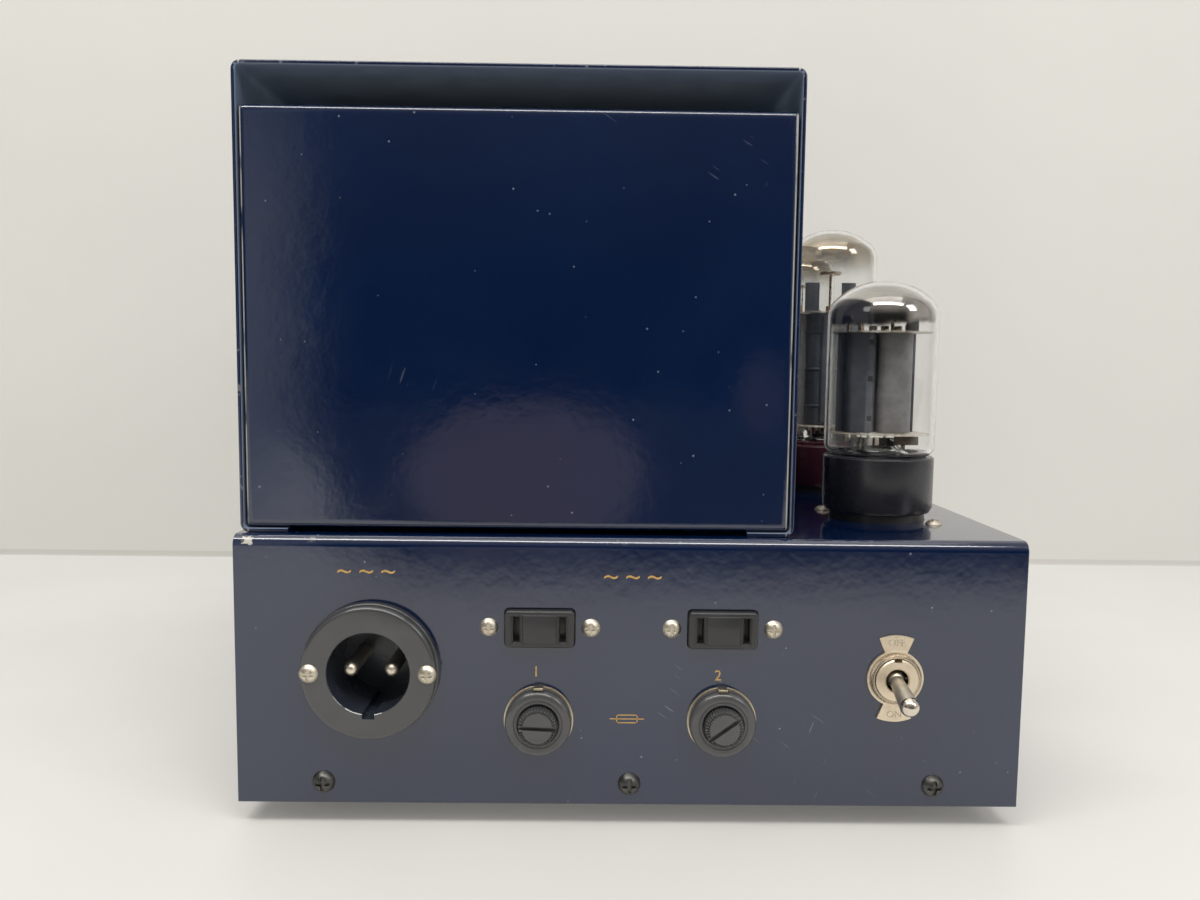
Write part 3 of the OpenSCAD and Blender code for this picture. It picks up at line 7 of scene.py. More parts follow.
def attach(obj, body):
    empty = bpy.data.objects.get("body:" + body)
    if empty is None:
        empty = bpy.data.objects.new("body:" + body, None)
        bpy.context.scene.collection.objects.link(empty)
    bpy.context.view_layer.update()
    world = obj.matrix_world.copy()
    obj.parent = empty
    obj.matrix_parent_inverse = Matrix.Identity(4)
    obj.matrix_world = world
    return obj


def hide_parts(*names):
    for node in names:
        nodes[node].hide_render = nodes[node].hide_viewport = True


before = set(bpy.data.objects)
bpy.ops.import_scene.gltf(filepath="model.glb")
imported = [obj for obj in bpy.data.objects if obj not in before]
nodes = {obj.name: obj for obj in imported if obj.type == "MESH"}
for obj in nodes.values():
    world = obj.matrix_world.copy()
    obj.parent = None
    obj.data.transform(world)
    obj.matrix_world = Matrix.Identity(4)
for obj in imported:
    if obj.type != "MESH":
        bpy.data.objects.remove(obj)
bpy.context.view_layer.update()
scene = bpy.context.scene
scene.view_settings.view_transform = "Standard"
print("frame loaded:", len(nodes), "nodes")

# the amplifier's own levels, in millimetres
mm = 0.001
amp = {"front": -149.655, "edge": 6.6, "top": 82.2, "valveX": 80.0, "coverX": -31.85, "coverFront": -145.155,
       "coverDepth": 296.0}


def onPanel(x, z):
    return (Matrix.Translation((x * mm, amp["front"] * mm, (amp["edge"] + z) * mm))
            @ Matrix.Rotation(math.pi / 2, 4, "X") @ Matrix.Scale(mm, 4))


def onTop(x, y):
    return Matrix.Translation((x * mm, (amp["front"] + y) * mm, amp["top"] * mm)) @ Matrix.Scale(mm, 4)


def at(x, y, z):
    return Matrix.Translation((x, y, z))


def turned(degrees, axis="Z"):
    return Matrix.Rotation(math.radians(degrees), 4, axis)


# shader maths: one socket with the usual operators on it
class Sock:
    def __init__(self, paint, out):
        self.paint, self.out = paint, out

    def math(self, operation, a, b=0.0):
        return self.paint.add("Math", {"operation": operation}, {0: a, 1: b})

    def __add__(self, other): return self.math("ADD", self, other)
    def __radd__(self, other): return self.math("ADD", other, self)
    def __sub__(self, other): return self.math("SUBTRACT", self, other)
    def __rsub__(self, other): return self.math("SUBTRACT", other, self)
    def __mul__(self, other): return self.math("MULTIPLY", self, other)
    def __rmul__(self, other): return self.math("MULTIPLY", other, self)
    def __truediv__(self, other): return self.math("DIVIDE", self, other)
    def __rtruediv__(self, other): return self.math("DIVIDE", other, self)
    def __abs__(self): return self.math("ABSOLUTE", self)
    def most(self, other): return self.math("MAXIMUM", self, other)
    def least(self, other): return self.math("MINIMUM", self, other)

    def ramp(self, low, high):  # 0 at low, 1 at high, eased
        return self.paint.add("MapRange", {"interpolation_type": "SMOOTHSTEP"},
                              {"Value": self, "From Min": low, "From Max": high})


class Paint:
    def __init__(self, name, tree=None):
        if tree is None:
            self.mat = bpy.data.materials.new(name)
            self.mat.use_nodes = True
            tree = self.mat.node_tree
        self.tree = tree
        self.tree.nodes.clear()
        self.where = None

    def add(self, kind, settings=None, links=None, out=0):
        node = self.tree.nodes.new("ShaderNode" + kind)
        for key, value in (settings or {}).items():
            setattr(node, key, value)
        for key, value in (links or {}).items():
            if isinstance(value, Sock):
                self.tree.links.new(value.out, node.inputs[key])
            else:
                node.inputs[key].default_value = value
        return Sock(self, node.outputs[out]) if len(node.outputs) else None

    def spot(self):
        if self.where is None:
            self.where = self.add("TexCoord", out="Object")
        return self.where

    def axes(self):
        parts = self.add("SeparateXYZ", links={0: self.spot()}).out.node
        return [Sock(self, parts.outputs[k]) for k in range(3)]

    def stretched(self, scale, turn=(0, 0, 0), shift=(0, 0, 0)):
        return self.add("Mapping", {"vector_type": "TEXTURE"},
                        {"Vector": self.spot(), "Scale": tuple(1 / k for k in scale), "Rotation": turn,
                         "Location": shift})

    def noise(self, scale, detail=2.0, rough=0.5, vector=None):
        return self.add("TexNoise", links={"Vector": vector or self.spot(), "Scale": scale,
                                                     "Detail": detail, "Roughness": rough})

    def cells(self, scale, out="Distance"):
        return self.add("TexVoronoi", links={"Vector": self.spot(), "Scale": scale}, out=out)

    def picks(self, scale):  # a chance number for each cell
        return self.add("SeparateColor", links={0: self.cells(scale, "Color")})

    def mix(self, factor, a, b):
        a, b = [c if isinstance(c, Sock) else (*c, 1.0) for c in (a, b)]
        return self.add("Mix", {"data_type": "RGBA"}, {0: factor, 6: a, 7: b}, 2)

    def bump(self, height, distance, strength, normal=None):
        links = {"Height": height, "Distance": distance, "Strength": strength}
        if normal:
            links["Normal"] = normal
        return self.add("Bump", links=links)

    def eased(self, radius):  # softens sharp edges where light catches them
        return self.add("Bevel", {"samples": 4}, {"Radius": radius})

    def rays(self, *kinds):
        paths = self.add("LightPath").out.node
        return [Sock(self, paths.outputs[kind]) for kind in kinds]

    def mirrored(self):  # 1 on rays sent on by a shiny face, through glass as well
        glossy, through, depth = self.rays("Is Glossy Ray", "Is Transmission Ray", "Glossy Depth")
        return glossy.most(through * depth.least(1))

    def glow(self, colour, strength, kind="Emission"):
        colour = colour if isinstance(colour, Sock) else (*colour, 1)
        return self.add(kind, links={"Color": colour, "Strength": strength})

    def lifted(self, shader, strength):  # brighter to the eye, in mirrors and through glass, casting no light
        both = self.add("AddShader", links={0: shader, 1: self.glow((1.0, 0.985, 0.95), strength)})
        camera, glossy, through = self.rays("Is Camera Ray", "Is Glossy Ray", "Is Transmission Ray")
        return self.blend(camera.most(glossy).most(through), shader, both)

    def blend(self, factor, a, b):
        return self.add("MixShader", links={0: factor, 1: a, 2: b})

    def clearBehind(self, shader):  # seen from the front only
        behind = self.add("NewGeometry", out="Backfacing")
        return self.blend(behind, shader, self.add("BsdfTransparent"))

    def done(self, shader):
        self.add("OutputMaterial", links={0: shader})
        return self.mat

    def coated(self, **sockets):
        links = {key.replace("_", " "): (*value, 1.0) if isinstance(value, tuple) else value
                 for key, value in sockets.items()}
        return self.done(self.add("BsdfPrincipled", links=links))


def shaded(colour, factor):
    return tuple(c * factor for c in colour)


# materials
# chip is the worn-through colour, used also for the painted fold highlight on the cover
enamelLook = {"navy": (0.0008, 0.0090, 0.043), "light": (0.0014, 0.0112, 0.049), "speck": (0.30, 0.33, 0.38),
              "chip": (0.55, 0.53, 0.46), "rough": 0.10}


def enamel(name, wearAndHighlight):
    p = Paint(name)
    shade = p.noise(22, 3).ramp(0.35, 0.7)
    specks = (p.picks(70).ramp(0.80, 1.0) * 0.022 - p.cells(70)).ramp(0.0, 0.006)
    fine = (p.picks(300).ramp(0.70, 1.0) * 0.11 - p.cells(300)).ramp(0.0, 0.035) * 0.5
    patch = p.noise(19, 1).ramp(0.60, 0.70)
    hairA = p.noise(1, 0, vector=p.stretched((110, 110, 1500), (0.2, 0.55, 0.3))).ramp(0.80, 0.86)
    hairB = p.noise(1, 0, vector=p.stretched((1500, 1500, 120), (0.1, 0.35, 0.4), (3, 1, 7))).ramp(0.80, 0.86)
    marks = specks.most(fine).most(hairA.most(hairB) * patch * 0.3)
    wornAndHighlit = wearAndHighlight(p, *p.axes())
    colour = p.mix(shade, enamelLook["navy"], enamelLook["light"])
    colour = p.mix(marks, colour, enamelLook["speck"])
    colour = p.mix(wornAndHighlit, colour, enamelLook["chip"])
    dull = p.noise(60, 4).ramp(0.3, 0.8)
    rough = enamelLook["rough"] + dull * 0.05 + marks * 0.3 + wornAndHighlit * 0.4
    peel = p.noise(430, 1) * 0.6 + p.noise(130, 1)
    wave = p.bump(p.noise(11, 1), 0.0022, 0.10, p.eased(0.0003))
    skin = p.bump(peel, 0.00012, 0.42, wave)
    return p.coated(Base_Color=colour, Roughness=rough, Normal=skin, IOR=1.75, Coat_Weight=0.5,
                    Coat_Roughness=0.04)


# where the enamel is worn, and where a highlight is painted on the cover's folds, in metres
chassisFold = {"y": -0.1490, "z": 0.0814, "chipX": -0.1056, "chipZ": 0.0806, "frontY": -0.147}
coverEdge = {"x": -0.03185, "mouthY": -0.1449, "side": 0.0757, "top": 0.2084, "fold": 0.07495, "foldY": -0.1442}


def foldWear(p, x, y, z):  # worn spots along the chassis' front fold, and one chip near its left end
    c = chassisFold
    near = 1 - (abs(y - c["y"]) + abs(z - c["z"])).ramp(0.0002, 0.0022)
    spots = p.noise(150, 3, 0.7).ramp(0.60, 0.66) * p.noise(26, 1).ramp(0.5, 0.62)
    ragged = (p.noise(800, 2) - 0.5) * 0.0022
    chip = 1 - ((abs(x - c["chipX"]) * 0.8).most(abs(z - c["chipZ"]) * 1.3) + ragged).ramp(0.0009, 0.0012)
    front = 1 - (y - c["frontY"]).ramp(0.0, 0.001)
    return (near * spots * 0.8).most(chip * front)


def coverWearAndFoldHighlight(p, x, y, z):  # rubbed cut edges, and a painted highlight: a thin pale line down the end pan's upright folds
    c = coverEdge
    aside = abs(x - c["x"])
    mouth = 1 - (y - c["mouthY"]).ramp(0.0, 0.0006)
    rim = (aside - c["side"]).ramp(0.0, 0.0002).most((z - c["top"]).ramp(0.0, 0.0002))
    spots = p.noise(210, 3, 0.7).ramp(0.60, 0.68)
    # painted highlight along the pan's upright folds
    fold = 1 - abs(aside - c["fold"]).ramp(0.0001, 0.0003)
    line = fold * (1 - (y - c["foldY"]).ramp(0.0, 0.0004)) * p.noise(75, 2).ramp(0.30, 0.50)
    return (mouth * rim * spots * 0.25).most(line * 0.85)


# a colour and its roughness
metalLook = {"nickel": ((0.60, 0.52, 0.41), 0.27), "steel": ((0.55, 0.55, 0.54), 0.34),
             "brass": ((0.62, 0.44, 0.17), 0.30), "washer": ((0.72, 0.63, 0.45), 0.35),
             "polish": ((0.78, 0.71, 0.60), 0.17), "copper": ((0.60, 0.28, 0.15), 0.30),
             "getter": ((0.13, 0.10, 0.08), 0.42), "satin": ((0.92, 0.80, 0.62), 0.44),
             "lever": ((0.58, 0.53, 0.445), 0.50), "screw": ((0.72, 0.66, 0.54), 0.38),
             "pin": ((0.86, 0.79, 0.64), 0.36), "blacked": ((0.12, 0.118, 0.11), 0.36)}


def metal(name, kind, grain=900, ease=0.0003, stain=0.5):
    colour, rough = metalLook[kind]
    p = Paint(name)
    spots = p.noise(grain, 3, 0.6).ramp(0.45, 0.75)
    blotch = p.noise(260, 2).ramp(0.5, 0.8) * stain
    tone = p.mix(blotch, colour, shaded(colour, 0.55))
    skin = p.bump(p.noise(grain * 2, 2), 0.00006, 0.35, p.eased(ease))
    return p.coated(Base_Color=tone, Metallic=1.0, Roughness=rough + spots * 0.14, Normal=skin)


# a colour, its roughness and how much clear gloss lies on it
plasticLook = {"moulding": ((0.026, 0.026, 0.0275), 0.36, 0.15), "gloss": ((0.019, 0.0192, 0.024), 0.24, 0.0),
               "fuse": ((0.056, 0.056, 0.058), 0.36, 0.7), "inletFace": ((0.039, 0.040, 0.042), 0.40, 1.0),
               "socket": ((0.024, 0.030, 0.042), 0.22, 0.0), "brown": ((0.045, 0.011, 0.019), 0.22, 0.0),
               "board": ((0.15, 0.065, 0.025), 0.5, 0.0), "rubber": ((0.025, 0.025, 0.026), 0.75, 0.0),
               "laminate": ((0.10, 0.045, 0.02), 0.4, 0.0), "ceramic": ((0.62, 0.57, 0.48), 0.5, 0.0)}


def plastic(name, kind, grain=700, ease=0.0003, dust=0.25):
    colour, rough, gloss = plasticLook[kind]
    p = Paint(name)
    flow = p.noise(120, 3).ramp(0.3, 0.75)
    motes = (0.16 - p.cells(900)).ramp(0.0, 0.08) * p.picks(900).ramp(0.93, 0.97) * dust
    tone = p.mix(flow, colour, tuple(c * 1.25 + 0.001 for c in colour))
    tone = p.mix(motes, tone, (0.32, 0.31, 0.29))
    skin = p.bump(p.noise(grain, 2), 0.00008, 0.4, p.eased(ease))
    return p.coated(Base_Color=tone, Roughness=rough + flow * 0.08, Normal=skin, IOR=1.55, Coat_Weight=gloss,
                    Coat_Roughness=0.06)


def glassPaint(name, tint):
    p = Paint(name)
    smear = p.noise(70, 3).ramp(0.45, 0.8)
    ripple = p.bump(p.noise(35, 1), 0.0012, 0.10)
    return p.coated(Base_Color=tint, Roughness=smear * 0.03, Transmission_Weight=1.0, IOR=1.47, Normal=ripple)


def filmPaint(name, colour, low, high, lean, thin, crown):  # silvering in a bulb, with painted shade darkening its crown
    p = Paint(name)
    x, z = p.axes()[::2]
    edge = z + (x - amp["valveX"] * mm) * lean + (p.noise(160, 3) - 0.5) * 0.004
    cloud = p.noise(120, 3).ramp(0.3, 0.7)
    # random cloudy tone, and painted shade towards the crown that dims its reflection
    dark = (cloud * 0.7).most(z.ramp(crown - 0.0015, crown + 0.003))
    tone = p.mix(dark, colour, shaded(colour, 0.45))
    cover = edge.ramp(low, high) * thin
    return p.coated(Base_Color=tone, Metallic=1.0, Roughness=0.06 + cloud * 0.05, Alpha=cover)


insideLook = {"paintedLightPale": (0.62, 0.77, 0.97), "paintedMouthDim": (0.15, 0.19, 0.27)}


def insideLightEvened(name):  # painted light: pale deeper inside, against the shade there, and darker navy at both mouths
    p = Paint(name)
    half = amp["coverDepth"] / 2
    # painted light: the colour goes from dark navy at each mouth to pale deeper in, evening out the shade inside
    depth = half * mm - abs(p.axes()[1] - (amp["coverFront"] + half) * mm)
    paintedMouthDim = 1 - (depth + (p.noise(140, 3) - 0.5) * 0.008).ramp(0.002, 0.032)
    tone = p.mix(paintedMouthDim, insideLook["paintedLightPale"], insideLook["paintedMouthDim"])
    skin = p.bump(p.noise(200, 2), 0.00008, 0.4)
    return p.coated(Base_Color=tone, Roughness=0.65 - paintedMouthDim * 0.15, Normal=skin)


def laminations(name):
    p = Paint(name)
    layer = p.noise(1, 2, 0.6, p.stretched((6, 2600, 6)))
    rust = p.noise(60, 4, 0.65).ramp(0.55, 0.75)
    tone = p.mix(layer, (0.05, 0.05, 0.055), (0.16, 0.155, 0.15))
    tone = p.mix(rust * 0.6, tone, (0.14, 0.06, 0.025))
    return p.coated(Base_Color=tone, Metallic=0.55, Roughness=0.42 + rust * 0.3, Normal=p.bump(layer, 0.0003, 0.5))


def windingPaper(name):
    p = Paint(name)
    wrap = p.noise(1, 2, 0.5, p.stretched((9, 9, 520)))
    stain = p.noise(45, 4).ramp(0.4, 0.75)
    tone = p.mix(stain, (0.42, 0.26, 0.11), (0.22, 0.12, 0.045))
    skin = p.bump(wrap, 0.0005, 0.5)
    return p.coated(Base_Color=tone, Roughness=0.5 + stain * 0.2, Coat_Weight=0.3, Normal=skin)


def anodeGrey(name, colour):
    p = Paint(name)
    soot = p.noise(300, 3).ramp(0.3, 0.75)
    tone = p.mix(soot, colour, shaded(colour, 0.72))
    skin = p.bump(p.noise(1200, 2), 0.00006, 0.5, p.eased(0.0003))
    return p.coated(Base_Color=tone, Metallic=0.3, Roughness=0.46 + soot * 0.15, Normal=skin)


def micaPaint(name):
    p = Paint(name)
    cloud = p.noise(240, 3).ramp(0.35, 0.7)
    tone = p.mix(cloud, (0.62, 0.56, 0.46), (0.45, 0.38, 0.28))
    return p.coated(Base_Color=tone, Roughness=0.25 + cloud * 0.15, Alpha=0.40 + cloud * 0.2)


def canPaint(name):
    p = Paint(name)
    z = p.axes()[2]
    sleeve = z.ramp(0.0300, 0.0301) * (1 - z.ramp(0.0770, 0.0771))
    scuff = p.noise(90, 4).ramp(0.4, 0.8)
    tone = p.mix(sleeve, (0.60, 0.60, 0.60), (0.05, 0.09, 0.20))
    tone = p.mix(scuff * 0.3, tone, (0.30, 0.30, 0.31))
    return p.coated(Base_Color=tone, Metallic=1 - sleeve, Roughness=0.3 + scuff * 0.15)


def goldInk(name):
    p = Paint(name)
    wornInk = p.noise(900, 3).ramp(0.40, 0.75)
    tone = p.mix(wornInk, (0.60, 0.37, 0.11), (0.46, 0.27, 0.08))
    return p.coated(Base_Color=tone, Roughness=0.45, Normal=p.bump(wornInk, 0.00004, 0.4))


navyChassis = enamel("navyEnamelChassis", foldWear)
navyCover = enamel("navyEnamelCover", coverWearAndFoldHighlight)
nickel = metal("nickelPlate", "nickel", 900, 0.0001)
polished = metal("polishedNickel", "polish", 500, 0.0002, 0.2)
satinNickel = metal("satinNickel", "satin", 1100, 0.00008, 0.42)
leverMetal = metal("dullLeverMetal", "lever", 700, 0.0002, 0.3)
pinMetal = metal("paleContactPin", "pin", 500, 0.0003, 0.15)
blackSteel = metal("blackedSteel", "blacked", 900, 0.0003, 0.6)
plainSteel = metal("plainSteel", "steel", 500)
brass = metal("plainBrass", "brass")
washerMetal = metal("paleWasherPlate", "washer")
moulding = plastic("blackMoulding", "moulding")
fuseMoulding = plastic("fuseMoulding", "fuse")
screwMetal = metal("satinScrewPlate", "screw", 700, 0.00008, 0.5)
inletFace = plastic("greyInletFace", "inletFace", 500, 0.0003, 0.1)
inletSocket = plastic("glossySocket", "socket", 300, 0.0002, 0.05)
baseBlack = plastic("polishedBlackBase", "gloss", 500, 0.0003, 0.12)
baseBrown = plastic("redBrownBase", "brown", 500, 0.0003, 0.12)
brownBoard = plastic("brownBoard", "board", 300)
switchBrown = plastic("switchCaseBrown", "laminate", 300)
rubber = plastic("footRubber", "rubber", 1200, 0.0006, 0.5)
bulbGlass = glassPaint("bulbGlass", (0.985, 0.99, 0.985))
fuseGlass = glassPaint("fuseGlass", (0.96, 0.98, 0.97))
stemGlass = glassPaint("stemGlass", (0.93, 0.95, 0.93))
# one anode grey in a shaded copy, for the rectifier's left anode and the other sheets, and a painted lit copy, for
# its right anode and the output valves' side plates
anode = anodeGrey("darkAnodeSheet", (0.070, 0.077, 0.095))
litAnodeCopy = anodeGrey("litCopyAnodeSheet", (0.25, 0.245, 0.25))
innerPaintedLight = insideLightEvened("insidePaintedLight")
mica = micaPaint("micaSheet")
coreSteel = laminations("coreLaminations")
coilPaper = windingPaper("windingPaper")
capacitorCan = canPaint("capacitorCan")
legendInk = goldInk("goldLegendInk")
copper = metal("copperRod", "copper", 600, 0.0002, 0.4)
ceramic = plastic("paleCeramic", "ceramic", 900, 0.0002, 0.0)
getterBrown = metal("brownGetter", "getter", 600, 0.0002, 0.6)
silverFilm = filmPaint("silverMirror", (0.56, 0.52, 0.48), 0.1429, 0.1453, -0.05, 1.0, 0.1515)
goldFilm = filmPaint("goldMirror", (0.62, 0.50, 0.33), 0.1640, 0.1760, 0.0, 0.42, 0.1775)
smallFilm = filmPaint("smallMirror", (0.72, 0.70, 0.66), 0.1270, 0.1310, 0.0, 0.80, 0.1320)
print("materials made:", len(bpy.data.materials))


# mesh helpers: each maker gives a bmesh in millimetres about its own origin
def moved(bm, place):
    bmesh.ops.transform(bm, matrix=place, verts=bm.verts)
    return bm


class Shape:
    def __init__(self, bm=None):
        self.bm = bmesh.new() if bm is None else bm

    def take(self, part, place=Matrix(), paint=0):
        for face in moved(part, place).faces:
            face.material_index = paint
        carry = bpy.data.meshes.new("carry")
        part.to_mesh(carry)
        part.free()
        self.bm.from_mesh(carry)
        bpy.data.meshes.remove(carry)
        return self


def arc(cx, cz, radius, start, end, steps):
    turns = [math.radians(start + (end - start) * k / steps) for k in range(steps + 1)]
    return [(cx + radius * math.cos(t), cz + radius * math.sin(t)) for t in turns]


def spun(points, steps, closed=False):
    bm = bmesh.new()
    verts = [bm.verts.new((r, 0, z)) for r, z in points]
    edges = [bm.edges.new(pair) for pair in zip(verts, verts[1:])]
    if closed:
        edges.append(bm.edges.new((verts[-1], verts[0])))
    bmesh.ops.spin(bm, geom=verts + edges, cent=(0, 0, 0), axis=(0, 0, 1), angle=2 * math.pi,
                   steps=steps, use_merge=True)
    bmesh.ops.remove_doubles(bm, verts=bm.verts, dist=1e-4)
    bmesh.ops.recalc_face_normals(bm, faces=bm.faces)
    return bm


def bevelled(bm, edges, offset, segments):
    bmesh.ops.bevel(bm, geom=edges, offset=offset, affect="EDGES", segments=segments, profile=0.5, material=-1)


def block(w, d, h, ease=0.0):
    bm = bmesh.new()
    bmesh.ops.create_cube(bm, size=1.0)
    bmesh.ops.scale(bm, vec=(w, d, h), verts=bm.verts)
    if ease:
        bevelled(bm, bm.edges[:], ease, 2)
    return bm


def upright(bm):
    return [e for e in bm.edges if abs(e.verts[0].co.z - e.verts[1].co.z) > 0.1]


def flattened(bm, least, margin):  # a narrow border inside each large face keeps its shading flat
    wide = [f for f in bm.faces if f.calc_area() > least]
    bmesh.ops.inset_individual(bm, faces=wide, thickness=margin, use_even_offset=True)


def rod(start, end, d, steps=12):
    a, b = Vector(start), Vector(end)
    bm = bmesh.new()
    bmesh.ops.create_cone(bm, cap_ends=True, segments=steps, radius1=d / 2, radius2=d / 2, depth=(b - a).length)
    turn = (b - a).to_track_quat("Z", "Y").to_matrix().to_4x4()
    return moved(bm, Matrix.Translation((a + b) / 2) @ turn)


def ball(d, steps=12):
    bm = bmesh.new()
    bmesh.ops.create_uvsphere(bm, u_segments=steps, v_segments=steps // 2, radius=d / 2)
    return bm


def stacked(rings, steps):  # rings of (radius, height, tooth, dip), each bridged to the next
    bm = bmesh.new()
    loops = []
    for radius, z, tooth, dip in [(*ring, 0)[:4] for ring in rings]:
        ring = bmesh.ops.create_circle(bm, segments=steps, radius=radius)["verts"]
        for k, v in enumerate(ring):
            v.co *= (radius - tooth * (k % 2)) / radius
            v.co.z = z - dip * (k % 2)
        loops.append(list({e for v in ring for e in v.link_edges}))
    for a, b in zip(loops, loops[1:] + loops[:1]):
        bmesh.ops.bridge_loops(bm, edges=a + b)
    bmesh.ops.recalc_face_normals(bm, faces=bm.faces)
    return bm


def pulled(bm, made, vec):  # moves the fresh end of an extrusion
    fresh = [g for g in made["geom"] if isinstance(g, bmesh.types.BMVert)]
    bmesh.ops.translate(bm, vec=vec, verts=fresh)


def thickened(bm, height):  # a flat outline on Z = 0 drawn up into a plate
    pulled(bm, bmesh.ops.extrude_face_region(bm, geom=bm.faces[:]), (0, 0, height))
    bmesh.ops.recalc_face_normals(bm, faces=bm.faces)
    return bm


def painted(bm, pick):  # each face takes its paint from where its middle is
    for face in bm.faces:
        face.material_index = int(pick(face.calc_center_median()))


def loose(bm, name):
    mesh = bpy.data.meshes.new(name)
    bm.to_mesh(mesh)
    bm.free()
    held = bpy.data.objects.new(name, mesh)
    scene.collection.objects.link(held)
    return held


def worked(held):  # the mesh of an object with its cuts or its lettering worked out
    bpy.context.view_layer.update()
    bm = bmesh.new()
    bm.from_mesh(held.evaluated_get(bpy.context.evaluated_depsgraph_get()).to_mesh())
    return bm


def cutAway(bm, *cutters):
    body = loose(bm, "cutBody")
    tools = [loose(c, "cutTool") for c in cutters]
    for tool in tools:
        change = body.modifiers.new("cut", "BOOLEAN")
        change.operation, change.solver, change.object = "DIFFERENCE", "EXACT", tool
    result = worked(body)
    for held in [body] + tools:
        mesh = held.data
        bpy.data.objects.remove(held)
        bpy.data.meshes.remove(mesh)
    return result


def words(text, size, height):  # raised lettering about the origin
    curve = bpy.data.curves.new("lettering", "FONT")
    curve.body, curve.size, curve.extrude = text, size, height
    curve.align_x, curve.align_y = "CENTER", "CENTER"
    curve.resolution_u = 4
    held = bpy.data.objects.new("lettering", curve)
    scene.collection.objects.link(held)
    bm = worked(held)
    bpy.data.objects.remove(held)
    bpy.data.curves.remove(curve)
    bmesh.ops.remove_doubles(bm, verts=bm.verts, dist=1e-5)
    return bm


def makePiece(name, shape, place, paints, body, stands=(), sharp=35):
    bm = shape.bm if isinstance(shape, Shape) else shape
    piece = loose(moved(bm, place), name)
    mesh = piece.data
    for paint in paints:
        mesh.materials.append(paint)
    mesh.polygons.foreach_set("use_smooth", [True] * len(mesh.polygons))
    mesh.set_sharp_from_angle(angle=math.radians(sharp))
    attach(piece, body)
    if stands:
        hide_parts(*stands)
    return piece


def dress(paint, *names):  # a solid that keeps its CAD shape gets its finish
    for name in names:
        nodes[name].data.materials.clear()
        nodes[name].data.materials.append(paint)


# transformer cover: a folded wrap and two end pans
coverSheet = {"wide": 154.3, "high": 127.5, "thick": 1.2, "fold": 2.5, "flange": 12.0, "rim": 0.4, "skin": 0.9,
              "large": 2000, "border": 1.0}
endPan = {"wide": 151.3, "high": 114.6, "deep": 10.0, "fold": 1.6, "thick": 1.2, "lift": 1.5, "large": 2000,
          "border": 0.8}


def coverWrapShape():
    c = coverSheet
    half, high, skin = c["wide"] / 2, c["high"], c["skin"]
    inner = half - c["thick"] - c["flange"]
    bm = bmesh.new()
    line = [(-inner, 0), (-half, 0), (-half, high), (half, high), (half, 0), (inner, 0)]
    verts = [bm.verts.new((x, 0, z)) for x, z in line]
    edges = [bm.edges.new(pair) for pair in zip(verts, verts[1:])]
    pulled(bm, bmesh.ops.extrude_edge_only(bm, edges=edges), (0, amp["coverDepth"], 0))
    bevelled(bm, [e for e in bm.edges if len(e.link_faces) == 2], c["fold"], 8)
    flattened(bm, c["large"], c["border"])
    bmesh.ops.recalc_face_normals(bm, faces=bm.faces)
    if max(bm.faces, key=lambda f: f.calc_center_median().z).normal.z < 0:
        bmesh.ops.reverse_faces(bm, faces=bm.faces)
    bmesh.ops.solidify(bm, geom=bm.faces[:], thickness=c["thick"])
    ends = [e for e in bm.edges if len(e.link_faces) == 2 and e.calc_face_angle() > 1.2
            and abs(e.verts[0].co.y - e.verts[1].co.y) < 0.01]
    bevelled(bm, ends, c["rim"], 3)
    painted(bm, lambda p: abs(p.x) < half - skin and skin < p.z < high - skin)  # inside faces take the paint with painted light deeper in
    return bm


def endPanShape():
    c = endPan
    bm = moved(block(c["wide"], c["deep"], c["high"]), at(0, c["deep"] / 2, c["high"] / 2))
    back = [f for f in bm.faces if f.normal.y > 0.9]
    bmesh.ops.delete(bm, geom=back, context="FACES_ONLY")
    bevelled(bm, [e for e in bm.edges if len(e.link_faces) == 2], c["fold"], 6)
    flattened(bm, c["large"], c["border"])
    bmesh.ops.solidify(bm, geom=bm.faces[:], thickness=c["thick"])
    return bm


coverPlace = onTop(amp["coverX"], amp["coverFront"] - amp["front"])
makePiece("coverWrap", coverWrapShape(), coverPlace, [navyCover, innerPaintedLight], "amplifier",
          ["cover_wrap"])
for end, turn in (("Front", Matrix()), ("Rear", at(0, amp["coverDepth"], 0) @ turned(180))):
    makePiece("cover" + end + "Pan", endPanShape(), coverPlace @ turn @ at(0, 0, endPan["lift"]), [navyCover],
              "amplifier", ["cover_" + end.lower() + "_panel"])
dress(navyChassis, "chassis")
print("cover and chassis made")

# mains inlet
inlet = {"x": -71.8, "z": 38.5, "flange": 19.0, "thick": 5.0, "step": 2.7, "stepRound": 0.5, "rim": 1.2,
         "socket": 11.35, "chamfer": 0.2, "floor": -17.0, "body": 13.3, "deep": -24.0, "keyWide": 3.4,
         "keyDeep": 1.3, "keyLong": 30}


def inletShape():
    c = inlet
    flange, socket, thick, floor = c["flange"], c["socket"], c["thick"], c["floor"]
    key = socket + c["keyDeep"]
    line = [(0, c["deep"]), (c["body"], c["deep"]), (c["body"], 0), (flange - 0.3, 0), (flange, 0.3)]
    line += arc(flange - c["stepRound"], c["step"] - c["stepRound"], c["stepRound"], 0, 90, 4)
    line += [(flange - 0.75, c["step"])] + arc(flange - 0.45 - c["rim"], thick - c["rim"], c["rim"], 0, 90, 8)
    line += [(socket + c["chamfer"], thick), (socket, thick - c["chamfer"]), (socket, floor), (0, floor)]
    keyway = moved(block(c["keyWide"], key, c["keyLong"]), at(0, -key / 2, floor + c["keyLong"] / 2))
    bm = cutAway(spun(line, 112), keyway)
    painted(bm, lambda p: p.xy.length < key + 0.5 and floor - 1 < p.z < thick - 0.5)  # glossy in the socket
    return bm


